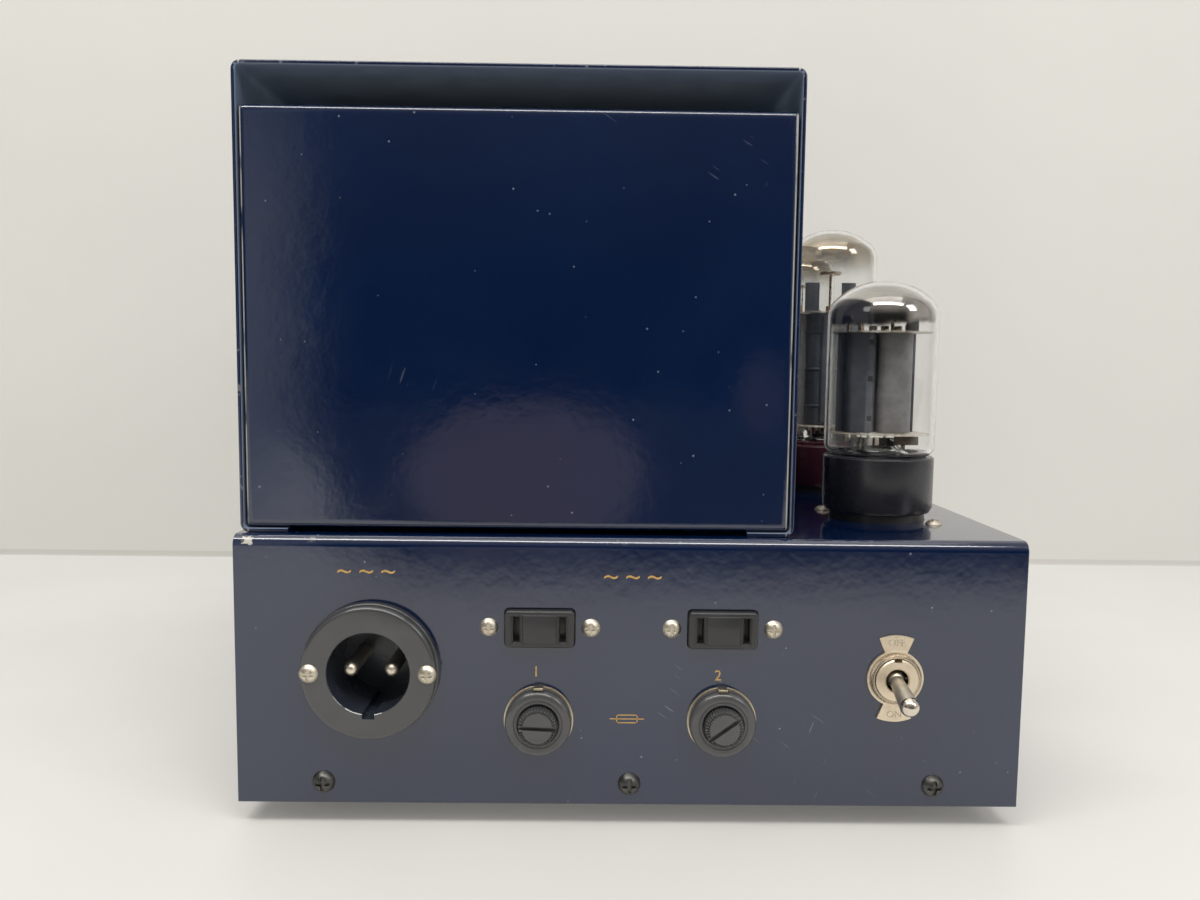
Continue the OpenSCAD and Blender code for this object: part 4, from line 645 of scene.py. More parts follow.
makePiece("mainsInlet", inletShape(), onPanel(inlet["x"], inlet["z"]), [inletFace, inletSocket], "amplifier",
          ["mains_inlet"])
dress(pinMetal, "mains_inlet_pins")
dress(screwMetal, "panel_screws")
dress(leverMetal, "socket_screws")

# outlets: a rounded face with two blade slots and a raised plain panel between them
outlet = {"xs": (-25.325, 25.325), "z": 50.5, "wide": 19.2, "high": 10.4, "proud": 2.3, "deep": 20.0,
          "corner": 1.2, "brow": 0.75, "large": 120, "border": 0.25, "pitch": 12.7, "slotWide": 1.8,
          "slotHigh": 7.1, "slotCuts": ((0, 12), (0.5, 0.35)), "panel": (9.0, 7.9, 0.3, 0.12),
          "rib": (0.35, 8.1, 0.3, 0.12), "ribAside": 1.5, "ear": 37.2, "earThick": 3.0, "earTop": -1.25}


def outletShape():
    c = outlet
    proud, sides = c["proud"], (-c["pitch"] / 2, c["pitch"] / 2)
    face = block(c["wide"], c["high"], proud + c["deep"])
    bevelled(face, upright(face), c["corner"], 4)
    high = max(v.co.z for v in face.verts)
    bevelled(face, [e for e in face.edges if all(v.co.z > high - 0.01 for v in e.verts)], c["brow"], 4)
    flattened(face, c["large"], c["border"])
    slots = [moved(block(c["slotWide"] + grow, c["slotHigh"] + grow, 2 * deep), at(x, 0, proud))
             for x in sides for grow, deep in c["slotCuts"]]
    shape = Shape().take(cutAway(moved(face, at(0, 0, proud - high)), *slots))
    shape.take(block(*c["panel"]), at(0, 0, proud + 0.02))
    for x in sides:
        for aside in (-c["ribAside"], c["ribAside"]):
            shape.take(block(*c["rib"]), at(x + aside, 0, proud))
    return shape.take(block(c["ear"], c["high"], c["earThick"], 0.4), at(0, 0, c["earTop"] - c["earThick"] / 2))


for side, x in zip(("Left", "Right"), outlet["xs"]):
    makePiece("outlet" + side, outletShape(), onPanel(x, outlet["z"]), [moulding], "amplifier",
              ["outlet_" + side.lower()])
dress(brass, "outlet_contacts", "fuse_contacts")

# fuses: holder with a domed flange, knurled cap with a slot, glass link
fuse = {"xs": (-25.5, 25.5), "z": 24.5, "flange": 9.25, "low": 0.7, "face": 4.7, "rim": 1.8, "groove": 6.55,
        "recess": 5.7, "sink": 1.5, "bore": 5.1, "back": -34.3, "floor": -30.3, "body": 7.1, "tail": 1.65,
        "notches": ((3.0, 10.75), (1.6, -10.9)), "cap": 5.4, "seat": 3.5, "proud": 7.7, "teeth": 40,
        "slot": (12, 1.15, 2.6), "slotTurns": (-2.5, 36.0), "sleeve": 4.8, "sleeveEnd": -5.5,
        "link": 3.175, "linkBack": -30.0, "linkFront": 2.0, "cup": 6.4}


def fuseHolderShape():
    c = fuse
    flange, face, rim, groove, recess = c["flange"], c["face"], c["rim"], c["groove"], c["recess"]
    line = [(c["tail"], c["back"]), (c["body"], c["back"]), (c["body"], c["low"]), (flange - 0.2, c["low"]),
            (flange, c["low"] + 0.2)]
    line += arc(flange - rim, face - rim, rim, 0, 90, 8)
    line += [(groove + 0.2, face), (groove + 0.1, face - 0.15), (groove - 0.1, face - 0.15), (groove - 0.2, face)]
    line += [(recess + 0.2, face), (recess, face - 0.2), (recess, face - c["sink"]),
             (c["bore"], face - c["sink"]), (c["bore"], c["floor"]), (c["tail"], c["floor"])]
    notches = [moved(block(wide, 4.0, 14), at(0, y, 0)) for wide, y in c["notches"]]
    return cutAway(spun(line, 96, True), *notches)


def fuseCapShape(turn):
    c = fuse
    cap, seat, proud, sleeve = c["cap"], c["seat"], c["proud"], c["sleeve"]
    rings = [(sleeve - 0.1, seat, 0), (cap, seat, 0.3), (cap, proud - 0.9, 0.3),
             (cap - 0.2, proud - 0.35, 0.3, 0.45), (cap - 0.45, proud - 0.12, 0.1, 0.55),
             (cap - 1.15, proud - 0.05, 0, 0.5), (cap - 1.3, proud, 0), (0.4, proud, 0), (0.4, seat, 0)]
    slot = moved(block(*c["slot"]), turned(turn) @ at(0, 0, proud))
    shape = Shape().take(cutAway(stacked(rings, 2 * c["teeth"]), slot))
    shape.take(spun([(0, seat - 0.3), (0.5, seat - 0.3), (0.5, proud - 1.3), (0, proud - 1.3)], 24))
    inner, end, front = c["link"] + 0.07, c["sleeveEnd"], c["linkFront"] + 0.05
    return shape.take(spun([(inner, end), (sleeve, end), (sleeve, seat + 0.05), (0, seat + 0.05), (0, front),
                            (inner, front)], 48, True))


def fuseLinkShape():
    c = fuse
    r, back, front, cup = c["link"], c["linkBack"], c["linkFront"], c["cup"]
    glass = r - 0.25
    shape = Shape().take(spun([(glass - 0.6, back + 0.6), (glass, back + 0.6), (glass, front - 0.6),
                               (glass - 0.6, front - 0.6)], 32, True))
    for end, way in ((back, 1), (front, -1)):
        line = [(0, 0), (r - 0.3, 0), (r, 0.3), (r, cup - 0.1), (r - 0.1, cup), (glass + 0.02, cup),
                (glass + 0.02, 0.5), (0, 0.5)]
        shape.take(spun([(x, end + way * z) for x, z in line], 32), paint=1)
    return shape.take(rod((0.4, 0, back + 3), (-0.3, 0, front - 3), 0.25, 6), paint=1)


for side, x, turn in zip(("Left", "Right"), fuse["xs"], fuse["slotTurns"]):
    low = side.lower()
    place = onPanel(x, fuse["z"])
    makePiece("fuseHolder" + side, fuseHolderShape(), place, [fuseMoulding], "amplifier",
              ["fuse_holder_" + low])
    makePiece("fuseCap" + side, fuseCapShape(turn), place, [fuseMoulding], "fuse_cap_" + low,
              ["fuse_cap_" + low], 30)
    makePiece("fuseLink" + side, fuseLinkShape(), place, [fuseGlass, nickel], "fuse_link_" + low,
              ["fuse_link_" + low])
dress(washerMetal, "fuse_washers")
dress(moulding, "fuse_holder_nuts")
print("inlet, outlets and fuses made")

# toggle switch
switch = {"x": 73.6, "z": 37.1, "bush": 5.95, "back": -2.2, "face": 2.8, "bore": 3.1, "keyWide": 2.2,
          "keyDeep": 0.8, "threads": 4, "threadPitch": 0.75, "threadDeep": 0.22, "strap": (15, 27, 1.0, 0.2),
          "strapZ": -1.7, "plate": 0.8, "ring": 7.85, "span": 12.3, "wing": 46, "wordY": 10.25, "wordSize": 2.7,
          "nut": 7.25, "nutHigh": 1.4, "teeth": 90, "lean": 15, "ball": 2.65, "root": 1.9, "tip": 2.65,
          "long": 13.5, "tail": 1.1, "tailLong": -8.0, "pinReach": 5.25, "pin": 1.2}


def bushShape():
    c = switch
    bush, bore, face = c["bush"], c["bore"], c["face"]
    line = [(bore, c["back"]), (bush, c["back"]), (bush, c["back"] + 1.0)]
    for k in range(c["threads"]):
        z = -1.0 + k * c["threadPitch"]
        line += [(bush, z), (bush - c["threadDeep"], z + c["threadPitch"] / 2)]
    line += [(bush, face - 0.3), (bush - 0.3, face), (bore + 0.35, face), (bore, face - 0.35)]
    notch = moved(block(c["keyWide"], 4, 4.0), at(0, bush - c["keyDeep"] + 2, face - 1.6))
    hole = rod((0, 0, -4), (0, 0, 4), 2 * bore, 48)
    shape = Shape().take(cutAway(spun(line, 72, True), notch))
    shape.take(cutAway(block(*c["strap"]), hole), at(0, 0, c["strapZ"]))
    painted(shape.bm, lambda p: p.xy.length < bore + 0.1 and p.z < face - 0.4)  # painted shade: black in the bore
    return shape


def plateShape():
    c = switch
    root, span, wing = c["ring"] - 0.4, c["span"], c["wing"]
    shape = Shape()
    for low, high, start, sweep, steps in ((c["bush"] + 0.05, c["ring"], 0, 360, 72),
                                           (root, span, 90 - wing / 2, wing, 14),
                                           (root, span, 270 - wing / 2, wing, 14)):
        full = sweep == 360
        a = math.radians(start)
        bm = bmesh.new()
        ends = [bm.verts.new((r * math.cos(a), r * math.sin(a), 0)) for r in (low, high)]
        bmesh.ops.spin(bm, geom=ends + [bm.edges.new(ends)], cent=(0, 0, 0), axis=(0, 0, 1),
                       angle=math.radians(sweep), steps=steps, use_merge=full)
        bmesh.ops.remove_doubles(bm, verts=bm.verts, dist=1e-4)
        shape.take(thickened(bm, c["plate"] - (0 if full else 0.03)))
    # painted shade: the raised letters take the darker nickel, standing in for the shade on their low relief
    for text, y in (("OFF", c["wordY"]), ("ON", -c["wordY"])):
        shape.take(words(text, c["wordSize"], 0.14), at(0, y, c["plate"] - 0.02), 1)
    return shape


def nutShape():
    c = switch
    low, inner = c["plate"], c["bush"] + 0.05
    rings = [(inner, low, 0), (c["nut"], low, 0.28), (c["nut"], low + 0.55, 0.28), (6.78, low + 1.1, 0.12),
             (6.7, low + 1.15, 0), (6.62, low + 1.05, 0), (6.5, low + c["nutHigh"], 0),
             (inner + 0.2, low + c["nutHigh"], 0), (inner, low + c["nutHigh"] - 0.2, 0)]
    return stacked(rings, 2 * c["teeth"])


def leverShape():
    c = switch
    neck = math.degrees(math.acos(c["root"] / c["ball"]))
    line = [(0, c["tailLong"]), (c["tail"], c["tailLong"]), (c["tail"], -2.4)]
    line += arc(0, 0, c["ball"], -65, neck, 10)
    line += [(c["root"] + 0.02, 2.2), (c["tip"] - 0.06, c["long"] - 0.7), (c["tip"] - 0.1, c["long"] - 0.55)]
    line += arc(0, c["long"], c["tip"], -8, 90, 10)
    bm = spun(line, 48)
    painted(bm, lambda p: 1 if p.z > c["long"] - 0.55 else 2 if p.z < 1.9 else 0)  # bright tip, satin ball
    pin = rod((-c["pinReach"], 0, 0), (c["pinReach"], 0, 0), c["pin"], 16)
    return Shape(moved(bm, turned(c["lean"], "X"))).take(pin, paint=1)


place = onPanel(switch["x"], switch["z"])
# the bush's bore takes the black base paint as painted shade
makePiece("switchBush", bushShape(), place, [satinNickel, baseBlack], "amplifier", ["switch_bush"])
makePiece("switchPlate", plateShape(), place, [satinNickel, nickel], "amplifier", ["switch_plate"])
makePiece("switchRingNut", nutShape(), place, [nickel], "amplifier", ["switch_nut"], 25)
makePiece("switchLever", leverShape(), place, [leverMetal, polished, satinNickel], "switch_lever",
          ["switch_lever"])
dress(switchBrown, "switch_body")
print("switch made")

# valves: spun glass, silvering on the inside of the crown, bases and electrodes
bulb = {"r": 17.0, "wall": 1.1, "knuckle": 8.0, "dome": 11.4, "shoulder": 3.5, "neck": 4.0, "film": 21}
base = {"r": 17.0, "foot": 2.6, "chamfer": 0.8, "floor": 3.0, "spigot": 3.95, "spigotLong": 12.0, "key": 1.6,
        "turn": -45}
smallBulb = {"r": 11.0, "wall": 1.1, "knuckle": 5.0, "dome": 8.0, "shoulder": 1.5, "foot": 3.3, "top": 53.3,
             "film": 10.3, "button": 3.0, "pins": 5.95, "pin": 1.02, "pinLong": 7.0, "stem": 6.0,
             "anodeHigh": 20.0, "mica": 9.4}


def bulbLine(c, bottom, top, inset=0.0):
    r, knuckle, dome = c["r"] - inset, c["knuckle"] - inset, c["dome"] - inset
    shoulder = max(c["shoulder"] - inset, 0.4)
    crown = (knuckle ** 2 - dome ** 2 - (r - knuckle) ** 2) / (2 * (knuckle - dome))
    lean = 90 - math.degrees(math.atan2(r - knuckle, crown - dome))
    line = arc(r - shoulder, bottom + inset + shoulder, shoulder, -90, 0, 6)
    line += arc(r - knuckle, top - inset - dome, knuckle, 0, lean, 9)
    return line + arc(0, top - inset - crown, crown, lean, 90, 12)[1:-1] + [(0, top - inset)]


def glassShape(bottom, top):
    c = bulb
    neck = c["r"] - c["shoulder"]
    line = bulbLine(c, bottom, top)[::-1] + [(neck, bottom - c["neck"]), (neck - c["wall"], bottom - c["neck"]),
                                             (neck - c["wall"], bottom + c["wall"])]
    return spun(line + bulbLine(c, bottom, top, c["wall"]), 96)


def filmShape(c, bottom, top):  # a thin closed skin just inside the glass
    line = []
    for gap, order in ((0.06, -1), (0.12, 1)):
        side = [p for p in bulbLine(c, bottom, top, c["wall"] + gap) if p[1] > top - c["dome"] - 0.5]
        line += ([(side[0][0], top - c["film"])] + side)[::order]
    return spun(line, 96)


def baseShape(height):
    c = base
    r, foot, floor, spigot, long = c["r"], c["foot"], c["foot"] + c["floor"], c["spigot"], c["spigotLong"]
    top, neck, drop = foot + height, bulb["r"] - bulb["shoulder"], bulb["neck"]
    line = [(0, foot), (r - c["chamfer"], foot), (r, foot + 2 * c["chamfer"]), (r, top - 0.5), (r - 0.5, top),
            (neck + 0.05, top), (neck + 0.05, top - drop), (neck - 1.1, top - drop), (neck - 1.1, floor),
            (0, floor)]
    shape = Shape().take(spun(line, 96))
    low, reach = foot - long, spigot + c["key"] / 2
    line = [(0, low), (spigot - 0.5, low), (spigot, low + 0.5), (spigot, foot + 0.2), (0, foot + 0.2)]
    shape.take(spun(line, 48))
    key = block(reach, c["key"], long, 0.15)
    return shape.take(key, turned(c["turn"]) @ at(reach / 2, 0, low + long / 2))


def roundBlock(w, d, h, corner, brow):
    bm = block(w, d, h)
    bevelled(bm, upright(bm), corner, 6)
    rims = [e for e in bm.edges if abs(e.verts[0].co.z - e.verts[1].co.z) < 1e-4
            and len({round(f.normal.z) for f in e.link_faces}) == 2]
    bevelled(bm, rims, brow, 2)
    return bm


# paints of an electrode piece, and each one's place among them
electrodePaints = [anode, mica, nickel, stemGlass, copper, ceramic, getterBrown, litAnodeCopy]
darkSheet, micaDisc, leadWire, stemFoot, copperPost, paleTube, getterStrip, litSheet = range(8)


def micas(shape, low, high, r, thick=0.3):  # two discs, and the height and middle of the sheets between them
    for z in (low, high):
        rings = [(r, z, 0.5), (r, z + thick, 0.5), (1.0, z + thick, 0), (1.0, z, 0)]
        shape.take(stacked(rings, 56), paint=micaDisc)
    return high - low - 0.5, (high + low + 0.5) / 2


def wire(shape, points, d, paint=leadWire):
    for a, b in zip(points, points[1:]):
        shape.take(rod(a, b, d), paint=paint)
    for p in points[1:-1]:
        shape.take(ball(d), at(*p), paint)


def stemShape(shape, low, high, span):  # pinched glass foot with the lead wires in it
    line = [(0, high - 3), (4.6, high - 3), (5.4, low + 4), (8.5, low + 0.5), (12.3, low - 1.5),
            (12.3, low - 2.3), (8.0, low - 0.6), (4.4, low + 3.2), (3.6, high - 4.5), (0, high - 4.5)]
    shape.take(spun(line, 48), paint=stemFoot)
    shape.take(roundBlock(span, 4.2, 5.0, 1.8, 0.8), at(0, 0, high - 1.5), stemFoot)


rectifierCage = {"low": 26.9, "high": 58.5, "mica": 15.4, "anodes": (-7.2, 3.2), "windows": (-11.2, 1.2, 12.6),
                 "clips": (-4.3, -0.6, 3.4), "stem": (20.0, 24.5, 17), "beads": (-9.3, -6.9),
                 "tubes": ((-4.2, 1.5), (-2.1, 1.3)), "posts": (-9.5, 9.5),
                 "leads": ((-8.2, -1.5), (-3.4, 0.6), (1.8, -0.8), (6.2, 0.9))}


def rectifierInside():
    c = rectifierCage
    high, (left, right) = c["high"], c["anodes"]
    shape = Shape()
    tall, mid = micas(shape, c["low"], high, c["mica"])
    windows = [moved(block(1.5, 20, 1.7), at(2.4, 0, z)) for z in c["windows"]]
    shape.take(cutAway(roundBlock(8.8, 10.5, tall, 1.6, 0.3), *windows), at(left, 0, mid))
    # painted light: the right anode takes the lit copy of the anode grey
    shape.take(roundBlock(10.6, 11.5, tall, 2.4, 0.3), at(right, -0.4, mid), litSheet)
    shape.take(block(2.4, 0.7, tall, 0.15), at(9.7, 0.4, mid))
    for x in c["clips"]:
        shape.take(block(1.9, 3.0, 1.5, 0.3), at(x, -4.4, high + 1.3), leadWire)
    shape.take(block(3.4, 2.4, 5.2, 0.3), at(9.4, -0.5, high + 3.0))
    shape.take(block(2.2, 0.7, tall, 0.15), at(-12.5, 0.6, mid))
    stemShape(shape, *c["stem"])
    for x, y in c["leads"]:
        wire(shape, [(x * 0.86, y * 0.4, 23.2), (x * 0.9, y, 25.2), (x, y, 27.4)], 0.95)
    for x in c["beads"]:
        bead = spun([(0.4, 22.8), (1.1, 22.9), (1.25, 24.2), (1.1, 25.4), (0.4, 25.5)], 20, True)
        shape.take(bead, at(x, -4.4, 0), stemFoot)
        wire(shape, [(x, -4.4, 22.0), (x, -4.4, 26.9)], 0.6)
    for x, w in c["tubes"]:
        shape.take(block(w, 1.2, 2.6, 0.3), at(x, -5.0, 24.6), paleTube)
    shape.take(block(7.6, 0.5, 2.7, 0.12), at(7.1, -5.2, 24.9), getterStrip)
    wire(shape, [(4.0, -5.0, 26.9), (4.0, -5.0, 24.0)], 0.6)
    for x in c["posts"]:
        wire(shape, [(x, 5.2, 24.0), (x, 5.2, 61.5)], 1.0)
    for x in (left, right):
        wire(shape, [(x, 0, high), (x, 0, high + 3.5)], 1.2)
    return shape


outputCage = {"low": 25.1, "high": 68.1, "mica": 15.4, "ribs": (-14, 0, 14), "stem": (18.2, 23.2, 18),
              "posts": ((-11.5, 0), (11.5, 0), (-4.5, 2.5), (4.5, -2.5), (0, -4.0), (0, 4.0)), "getter": 82.9,
              "leads": ((-7.5, -1.2), (-2.6, 0.8), (2.6, -0.8), (7.5, 1.2))}


def outputInside():
    c = outputCage
    high, getter = c["high"], c["getter"]
    shape = Shape()
    tall, mid = micas(shape, c["low"], high, c["mica"])
    shape.take(roundBlock(17.5, 14.5, tall, 5.0, 0.4), at(0, 0, mid))
    for side in (-1, 1):
        shape.take(block(4.2, 0.8, tall, 0.2), at(side * 10.4, 0, mid), litSheet)
        for y in (-7.0, 7.0):
            shape.take(roundBlock(3.0, 2.2, tall - 2, 0.9, 0.4), at(side * 3.2, y, mid))
    for z in c["ribs"]:
        shape.take(roundBlock(18.1, 15.1, 1.1, 5.2, 0.3), at(0, 0, mid + z))
    for x, y in c["posts"]:
        wire(shape, [(x, y, 21.5), (x, y, 71.4)], 1.1, copperPost)
    for side in (-1, 1):
        shape.take(block(5.4, 0.8, 11.5, 0.2), at(side * 7.0, -0.5, high + 6.2))
        shape.take(block(5.4, 4.0, 0.7, 0.2), at(side * 7.0, -2.0, high + 0.9))
    wire(shape, [(0, 0, high + 0.4), (0, 0, getter + 0.3)], 1.0)
    cup = [(0, 0), (3.6, 0), (4.0, 0.4), (4.0, 1.2), (3.5, 0.7), (0, 0.6)]
    shape.take(spun([(r, getter + z) for r, z in cup], 40), paint=leadWire)
    stemShape(shape, *c["stem"])
    for x, y in c["leads"]:
        wire(shape, [(x * 0.86, y * 0.4, 22.0), (x, y, 23.6), (x, y, 25.4)], 0.9)
    return shape


def smallInside():
    c = smallBulb
    foot, tip, half = c["foot"], c["foot"] - c["pinLong"], c["pin"] / 2
    low = foot + c["button"] + c["stem"]
    high = low + c["anodeHigh"]
    shape = Shape()
    for k in range(9):
        turn = math.radians(base["turn"] + 36 * (k + 1))
        line = [(0, tip), (0.36, tip + 0.1), (half, foot - 6.3), (half, foot + 4.4), (0.3, foot + 4.6),
                (0.3, low + 0.25), (0, low + 0.25)]
        shape.take(spun(line, 14), at(c["pins"] * math.cos(turn), c["pins"] * math.sin(turn), 0), leadWire)
    tall, mid = micas(shape, low, high, c["mica"])
    for x in (-4.0, 4.0):
        shape.take(roundBlock(6.0, 8.0, tall, 2.2, 0.3), at(x, 0, mid))
        shape.take(block(0.6, 11.0, tall, 0.15), at(x, 0, mid))
        wire(shape, [(x, 0, high), (x, 0, high + 1.9)], 0.9, copperPost)
    wire(shape, [(0, 3.0, high), (0, 3.0, high + 6.2), (0, 0, high + 6.6)], 0.6)
    ring = [(1.7, 6.4), (2.3, 6.3), (2.9, 6.4), (2.9, 7.0), (2.3, 6.8), (1.7, 7.0)]
    return shape.take(spun([(r, high + z) for r, z in ring], 32, True), paint=leadWire)


def smallGlassShape():
    c = smallBulb
    inner, floor = c["r"] - c["wall"], c["foot"] + c["button"]
    inside = [p for p in bulbLine(c, c["foot"], c["top"], c["wall"]) if p[1] > floor + 2]
    outer = spun(bulbLine(c, c["foot"], c["top"])[::-1] + [(0, c["foot"])], 72)
    hollow = spun([(0, floor), (inner - 1.5, floor), (inner, floor + 1.5)] + inside, 72)
    bmesh.ops.reverse_faces(hollow, faces=hollow.faces)
    return Shape().take(outer).take(hollow)


def makeValve(body, y, glass, film, filmCoat, inside, foot=None):
    place = onTop(amp["valveX"], y)
    bulbPiece = makePiece(body + "Glass", glass, place, [bulbGlass], body, [body + "_glass"])
    bulbPiece.visible_shadow = False
    makePiece(body + "Silvering", film, place, [filmCoat], body)
    if foot:
        shape, paint, slot = foot
        makePiece(body + "Base", shape, place, [paint], body, [body + "_base"])
        dress(nickel, body + "_pins")
    makePiece(body + "Inside", inside, place, electrodePaints, body, [body + "_electrodes"])


valves = [("rectifier", 44, 17.3, 74.8, baseBlack, "black_base", rectifierInside, silverFilm),
          ("output_valve_near", 112, 15.5, 100.0, baseBrown, "brown_base", outputInside, goldFilm),
          ("output_valve_far", 174, 15.5, 100.0, baseBrown, "brown_base", outputInside, goldFilm)]
for body, y, high, top, paint, slot, inside, film in valves:
    bottom = base["foot"] + high
    makeValve(body, y, glassShape(bottom, top), filmShape(bulb, bottom, top), film, inside(),
              (baseShape(high), paint, slot))
for body, y in (("driver_valve", 224), ("input_valve", 262)):
    makeValve(body, y, smallGlassShape(), filmShape(smallBulb, smallBulb["foot"], smallBulb["top"]), smallFilm,
              smallInside())
print("valves made")

# legends: a wave over the mains fittings, plain numbers over the fuses and a fuse sign between them
legend = {"words": (("~ ~ ~", 7.0, -73.1, 66.0), ("~ ~ ~", 7.0, 0.2, 65.1), ("1", 4.2, -26.3, 37.9),
                    ("2", 4.2, 24.3, 37.2)),
          "bars": ((6.0, 0.3, -0.9, 23.6), (6.0, 0.3, -0.9, 25.8), (0.3, 2.5, -3.75, 24.7),
                   (0.3, 2.5, 1.95, 24.7), (9.6, 0.3, -0.9, 24.7)), "thick": 0.04, "lift": 0.01}
marks = Shape()
for text, size, x, z in legend["words"]:
    marks.take(words(text, size, legend["thick"] / 2), at(x, z, legend["lift"]))
for w, h, x, z in legend["bars"]:
    marks.take(block(w, h, legend["thick"]), at(x, z, legend["lift"]))
makePiece("panelLegends", marks, onPanel(0, 0), [legendInk], "amplifier")

# finishes of the solids that keep their CAD shape
dress(moulding, "rectifier_socket", "output_socket_near", "output_socket_far", "small_sockets", "terminal_strip")
dress(plainSteel, "bottom_plate", "chassis_screws", "transformer_brackets", "transformer_bolts")
dress(blackSteel, "bottom_plate_screws")
dress(rubber, "feet")
dress(brass, "terminal_screws")
dress(nickel, "phono_socket")
dress(coreSteel, "mains_transformer_core", "output_transformer_core")
dress(coilPaper, "mains_transformer_coil", "output_transformer_coil")
dress(capacitorCan, "smoothing_capacitor")
dress(brownBoard, "tag_board")
print("finishes given")

# camera at the photo's place
shot = {"lens": 28.4154, "yaw": 0.0101, "pitch": 0.0887, "roll": -0.0118,
        "place": (-0.01187, -0.406315, 0.12941)}


def makeCamera():
    data = bpy.data.cameras.new("shot")
    data.lens, data.sensor_width, data.clip_start = shot["lens"], 36.0, 0.01
    camera = bpy.data.objects.new("shot", data)
    scene.collection.objects.link(camera)
    yaw, pitch, roll = shot["yaw"], shot["pitch"], shot["roll"]
    ahead = Vector((math.sin(yaw) * math.cos(pitch), math.cos(yaw) * math.cos(pitch), -math.sin(pitch)))
    right = Vector((math.cos(yaw), -math.sin(yaw), 0))
    down = ahead.cross(right)
    across = math.cos(roll) * right + math.sin(roll) * down
    under = -math.sin(roll) * right + math.cos(roll) * down
    turn = Matrix((across, -under, -ahead)).transposed().to_4x4()
    camera.matrix_world = Matrix.Translation(shot["place"]) @ turn
    scene.camera = camera


makeCamera()

# stage: pale floor, a wall behind that only the photo's side sees, and soft cards for reflections
stageLook = {"floor": (0.72, 0.705, 0.675), "wall": (0.72, 0.708, 0.672), "wallY": 0.216, "reach": 3.0,
             "floorLift": 0.08, "wallLift": 0.06, "paleEnd": -0.44, "slantFrom": -0.12, "slant": 1.5}


def plane(name, centre, turn, size, paint):
    place = at(*centre) @ turned(turn, "X") @ Matrix.Diagonal((*size, 1, 1))
    bm = bmesh.new()
    bmesh.ops.create_grid(bm, x_segments=1, y_segments=1, size=0.5, matrix=place)
    held = loose(bm, name)
    held.data.materials.append(paint)
    return held


def floorPaint():
    c = stageLook
    p = Paint("paleFloor")
    x, y = p.axes()[:2]
    mottle = p.noise(9, 4).ramp(0.3, 0.75)
    tone = p.mix(mottle, c["floor"], shaded(c["floor"], 0.965))
    matt = p.add("BsdfDiffuse", links={"Color": tone})
    sheen = p.add("BsdfGlossy", links={"Color": (0.8, 0.8, 0.8, 1), "Roughness": 0.28})
    matt = p.lifted(p.blend(0.05, matt, sheen), c["floorLift"])
    dim = p.glow((0.30, 0.29, 0.27), 0.2)
    # mirrors see the pale floor end here, further off at the left
    edge = y - c["paleEnd"] - (x - c["slantFrom"]).least(0) * c["slant"]
    return p.done(p.clearBehind(p.blend(p.mirrored() * (1 - edge.ramp(-0.12, 0.06)), matt, dim)))


def wallPaint():
    c = stageLook
    p = Paint("paleWall")
    z = p.axes()[2]
    mottle = p.noise(5, 3).ramp(0.3, 0.75)
    tone = p.mix(mottle, c["wall"], shaded(c["wall"], 0.97))
    # painted shadow: a thin darker line along the wall's foot
    line = (z - 0.0006).ramp(0, 0.0008) * (1 - (z - 0.0036).ramp(0, 0.0008))  # where it meets the floor
    tone = p.mix(line * 0.35, tone, (0.45, 0.43, 0.39))
    matt = p.lifted(p.add("BsdfDiffuse", links={"Color": tone}), c["wallLift"])
    return p.done(p.clearBehind(matt))


def cardPaint(name, centre, size, colour, strength, core):  # a glow that fades from its core outwards
    p = Paint(name)
    x, z = p.axes()[::2]
    aside, above = (x - centre[0]) / (size[0] / 2), (z - centre[2]) / (size[1] / 2)
    away = aside * aside + above * above
    soft = 1 - (away + (p.noise(14, 2) - 0.5) * 0.6).ramp(core, 1.0)
    clear = p.add("BsdfTransparent")
    behind = p.add("NewGeometry", out="Backfacing")
    return p.done(p.blend(soft * (1 - behind), clear, p.glow(colour, strength)))


reach = stageLook["reach"]
plane("stageFloor", (0, 0, 0), 0, (2 * reach, 2 * reach), floorPaint())
wall = plane("stageWall", (0, stageLook["wallY"], 1), 90, (2 * reach, 2), wallPaint())
wall.visible_shadow = False
wall.visible_diffuse = False


def card(name, centre, size, colour, strength, core):  # stands before the panel, and only reflections show it
    held = plane(name, centre, -90, size, cardPaint(name, centre, size, colour, strength, core))
    held.visible_camera = held.visible_diffuse = held.visible_shadow = held.visible_transmission = False


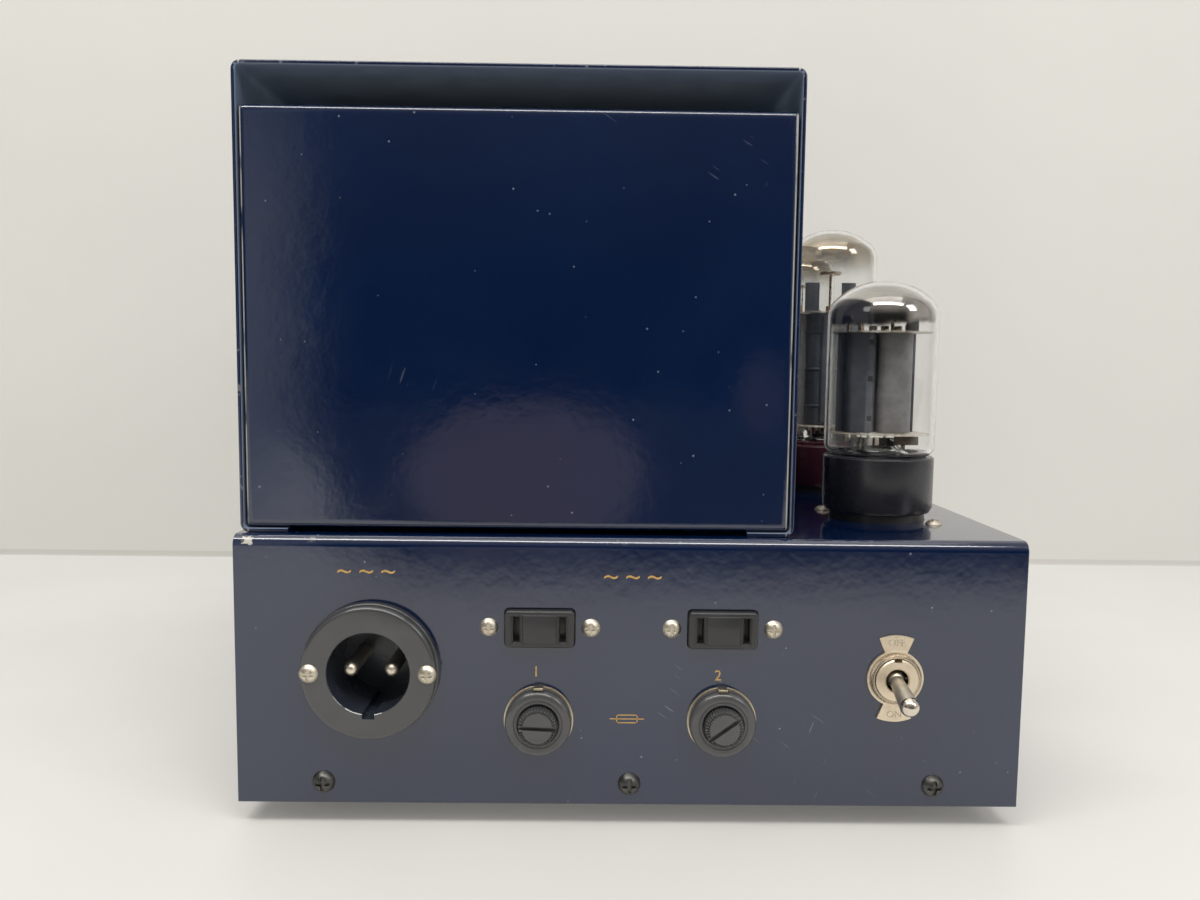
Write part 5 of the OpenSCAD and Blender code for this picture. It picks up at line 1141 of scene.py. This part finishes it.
card("middleGlow", (-0.057, -0.55, 0.050), (0.18, 0.115), (1.0, 0.80, 0.80), 0.33, 0.70)
card("leftGlow", (-0.275, -0.55, 0.17), (0.18, 0.50), (0.95, 0.97, 1.0), 0.46, 0.0)
card("lowGlow", (-0.255, -0.56, 0.028), (0.135, 0.115), (1.0, 0.98, 0.97), 0.90, 0.60)
card("rightGlow", (0.11, -0.55, 0.112), (0.045, 0.07), (1.0, 0.78, 0.78), 0.14, 0.4)


def lamp(name, place, aim, size, power, colour):
    data = bpy.data.lights.new(name, "AREA")
    data.shape, data.size, data.size_y = "RECTANGLE", size[0], size[1]
    data.energy, data.color = power, colour
    held = bpy.data.objects.new(name, data)
    held.location = place
    held.rotation_euler = (Vector(aim) - Vector(place)).to_track_quat("-Z", "Y").to_euler()
    scene.collection.objects.link(held)


lamp("tube", (-0.12, -0.62, 1.10), (0, -0.1, 0.1), (1.5, 0.15), 9.0, (1.0, 0.98, 0.95))
lamp("window", (0.85, -0.70, 0.75), (0.03, 0, 0.1), (0.30, 0.45), 1.9, (0.97, 0.98, 1.0))
lamp("ceiling", (-0.1, 0.1, 1.6), (-0.1, 0, 0), (1.6, 1.6), 7.0, (1.0, 0.99, 0.97))


def makeWorld():
    world = bpy.data.worlds.new("room")
    world.use_nodes = True
    scene.world = world
    p = Paint("room", world.node_tree)
    p.where = p.add("TexCoord", out="Generated")
    across, along, up = p.axes()
    front = p.mix(up.ramp(0.0, 0.9), (0.008, 0.009, 0.011), (0.40, 0.38, 0.36))
    room = p.mix(along.ramp(-0.45, 0.3).most(across.ramp(0.45, 0.85)), front, (0.60, 0.58, 0.55))
    camera, through = p.rays("Is Camera Ray", "Is Transmission Ray")
    fill = p.glow((1.0, 0.985, 0.96), 0.46, "Background")
    seen = p.glow((0.76, 0.735, 0.68), 1.0, "Background")
    shiny = p.glow(room, 1.0, "Background")
    p.add("OutputWorld",
          links={0: p.blend(p.mirrored(), p.blend(camera.most(through), fill, seen), shiny)})


makeWorld()
print("stage set")
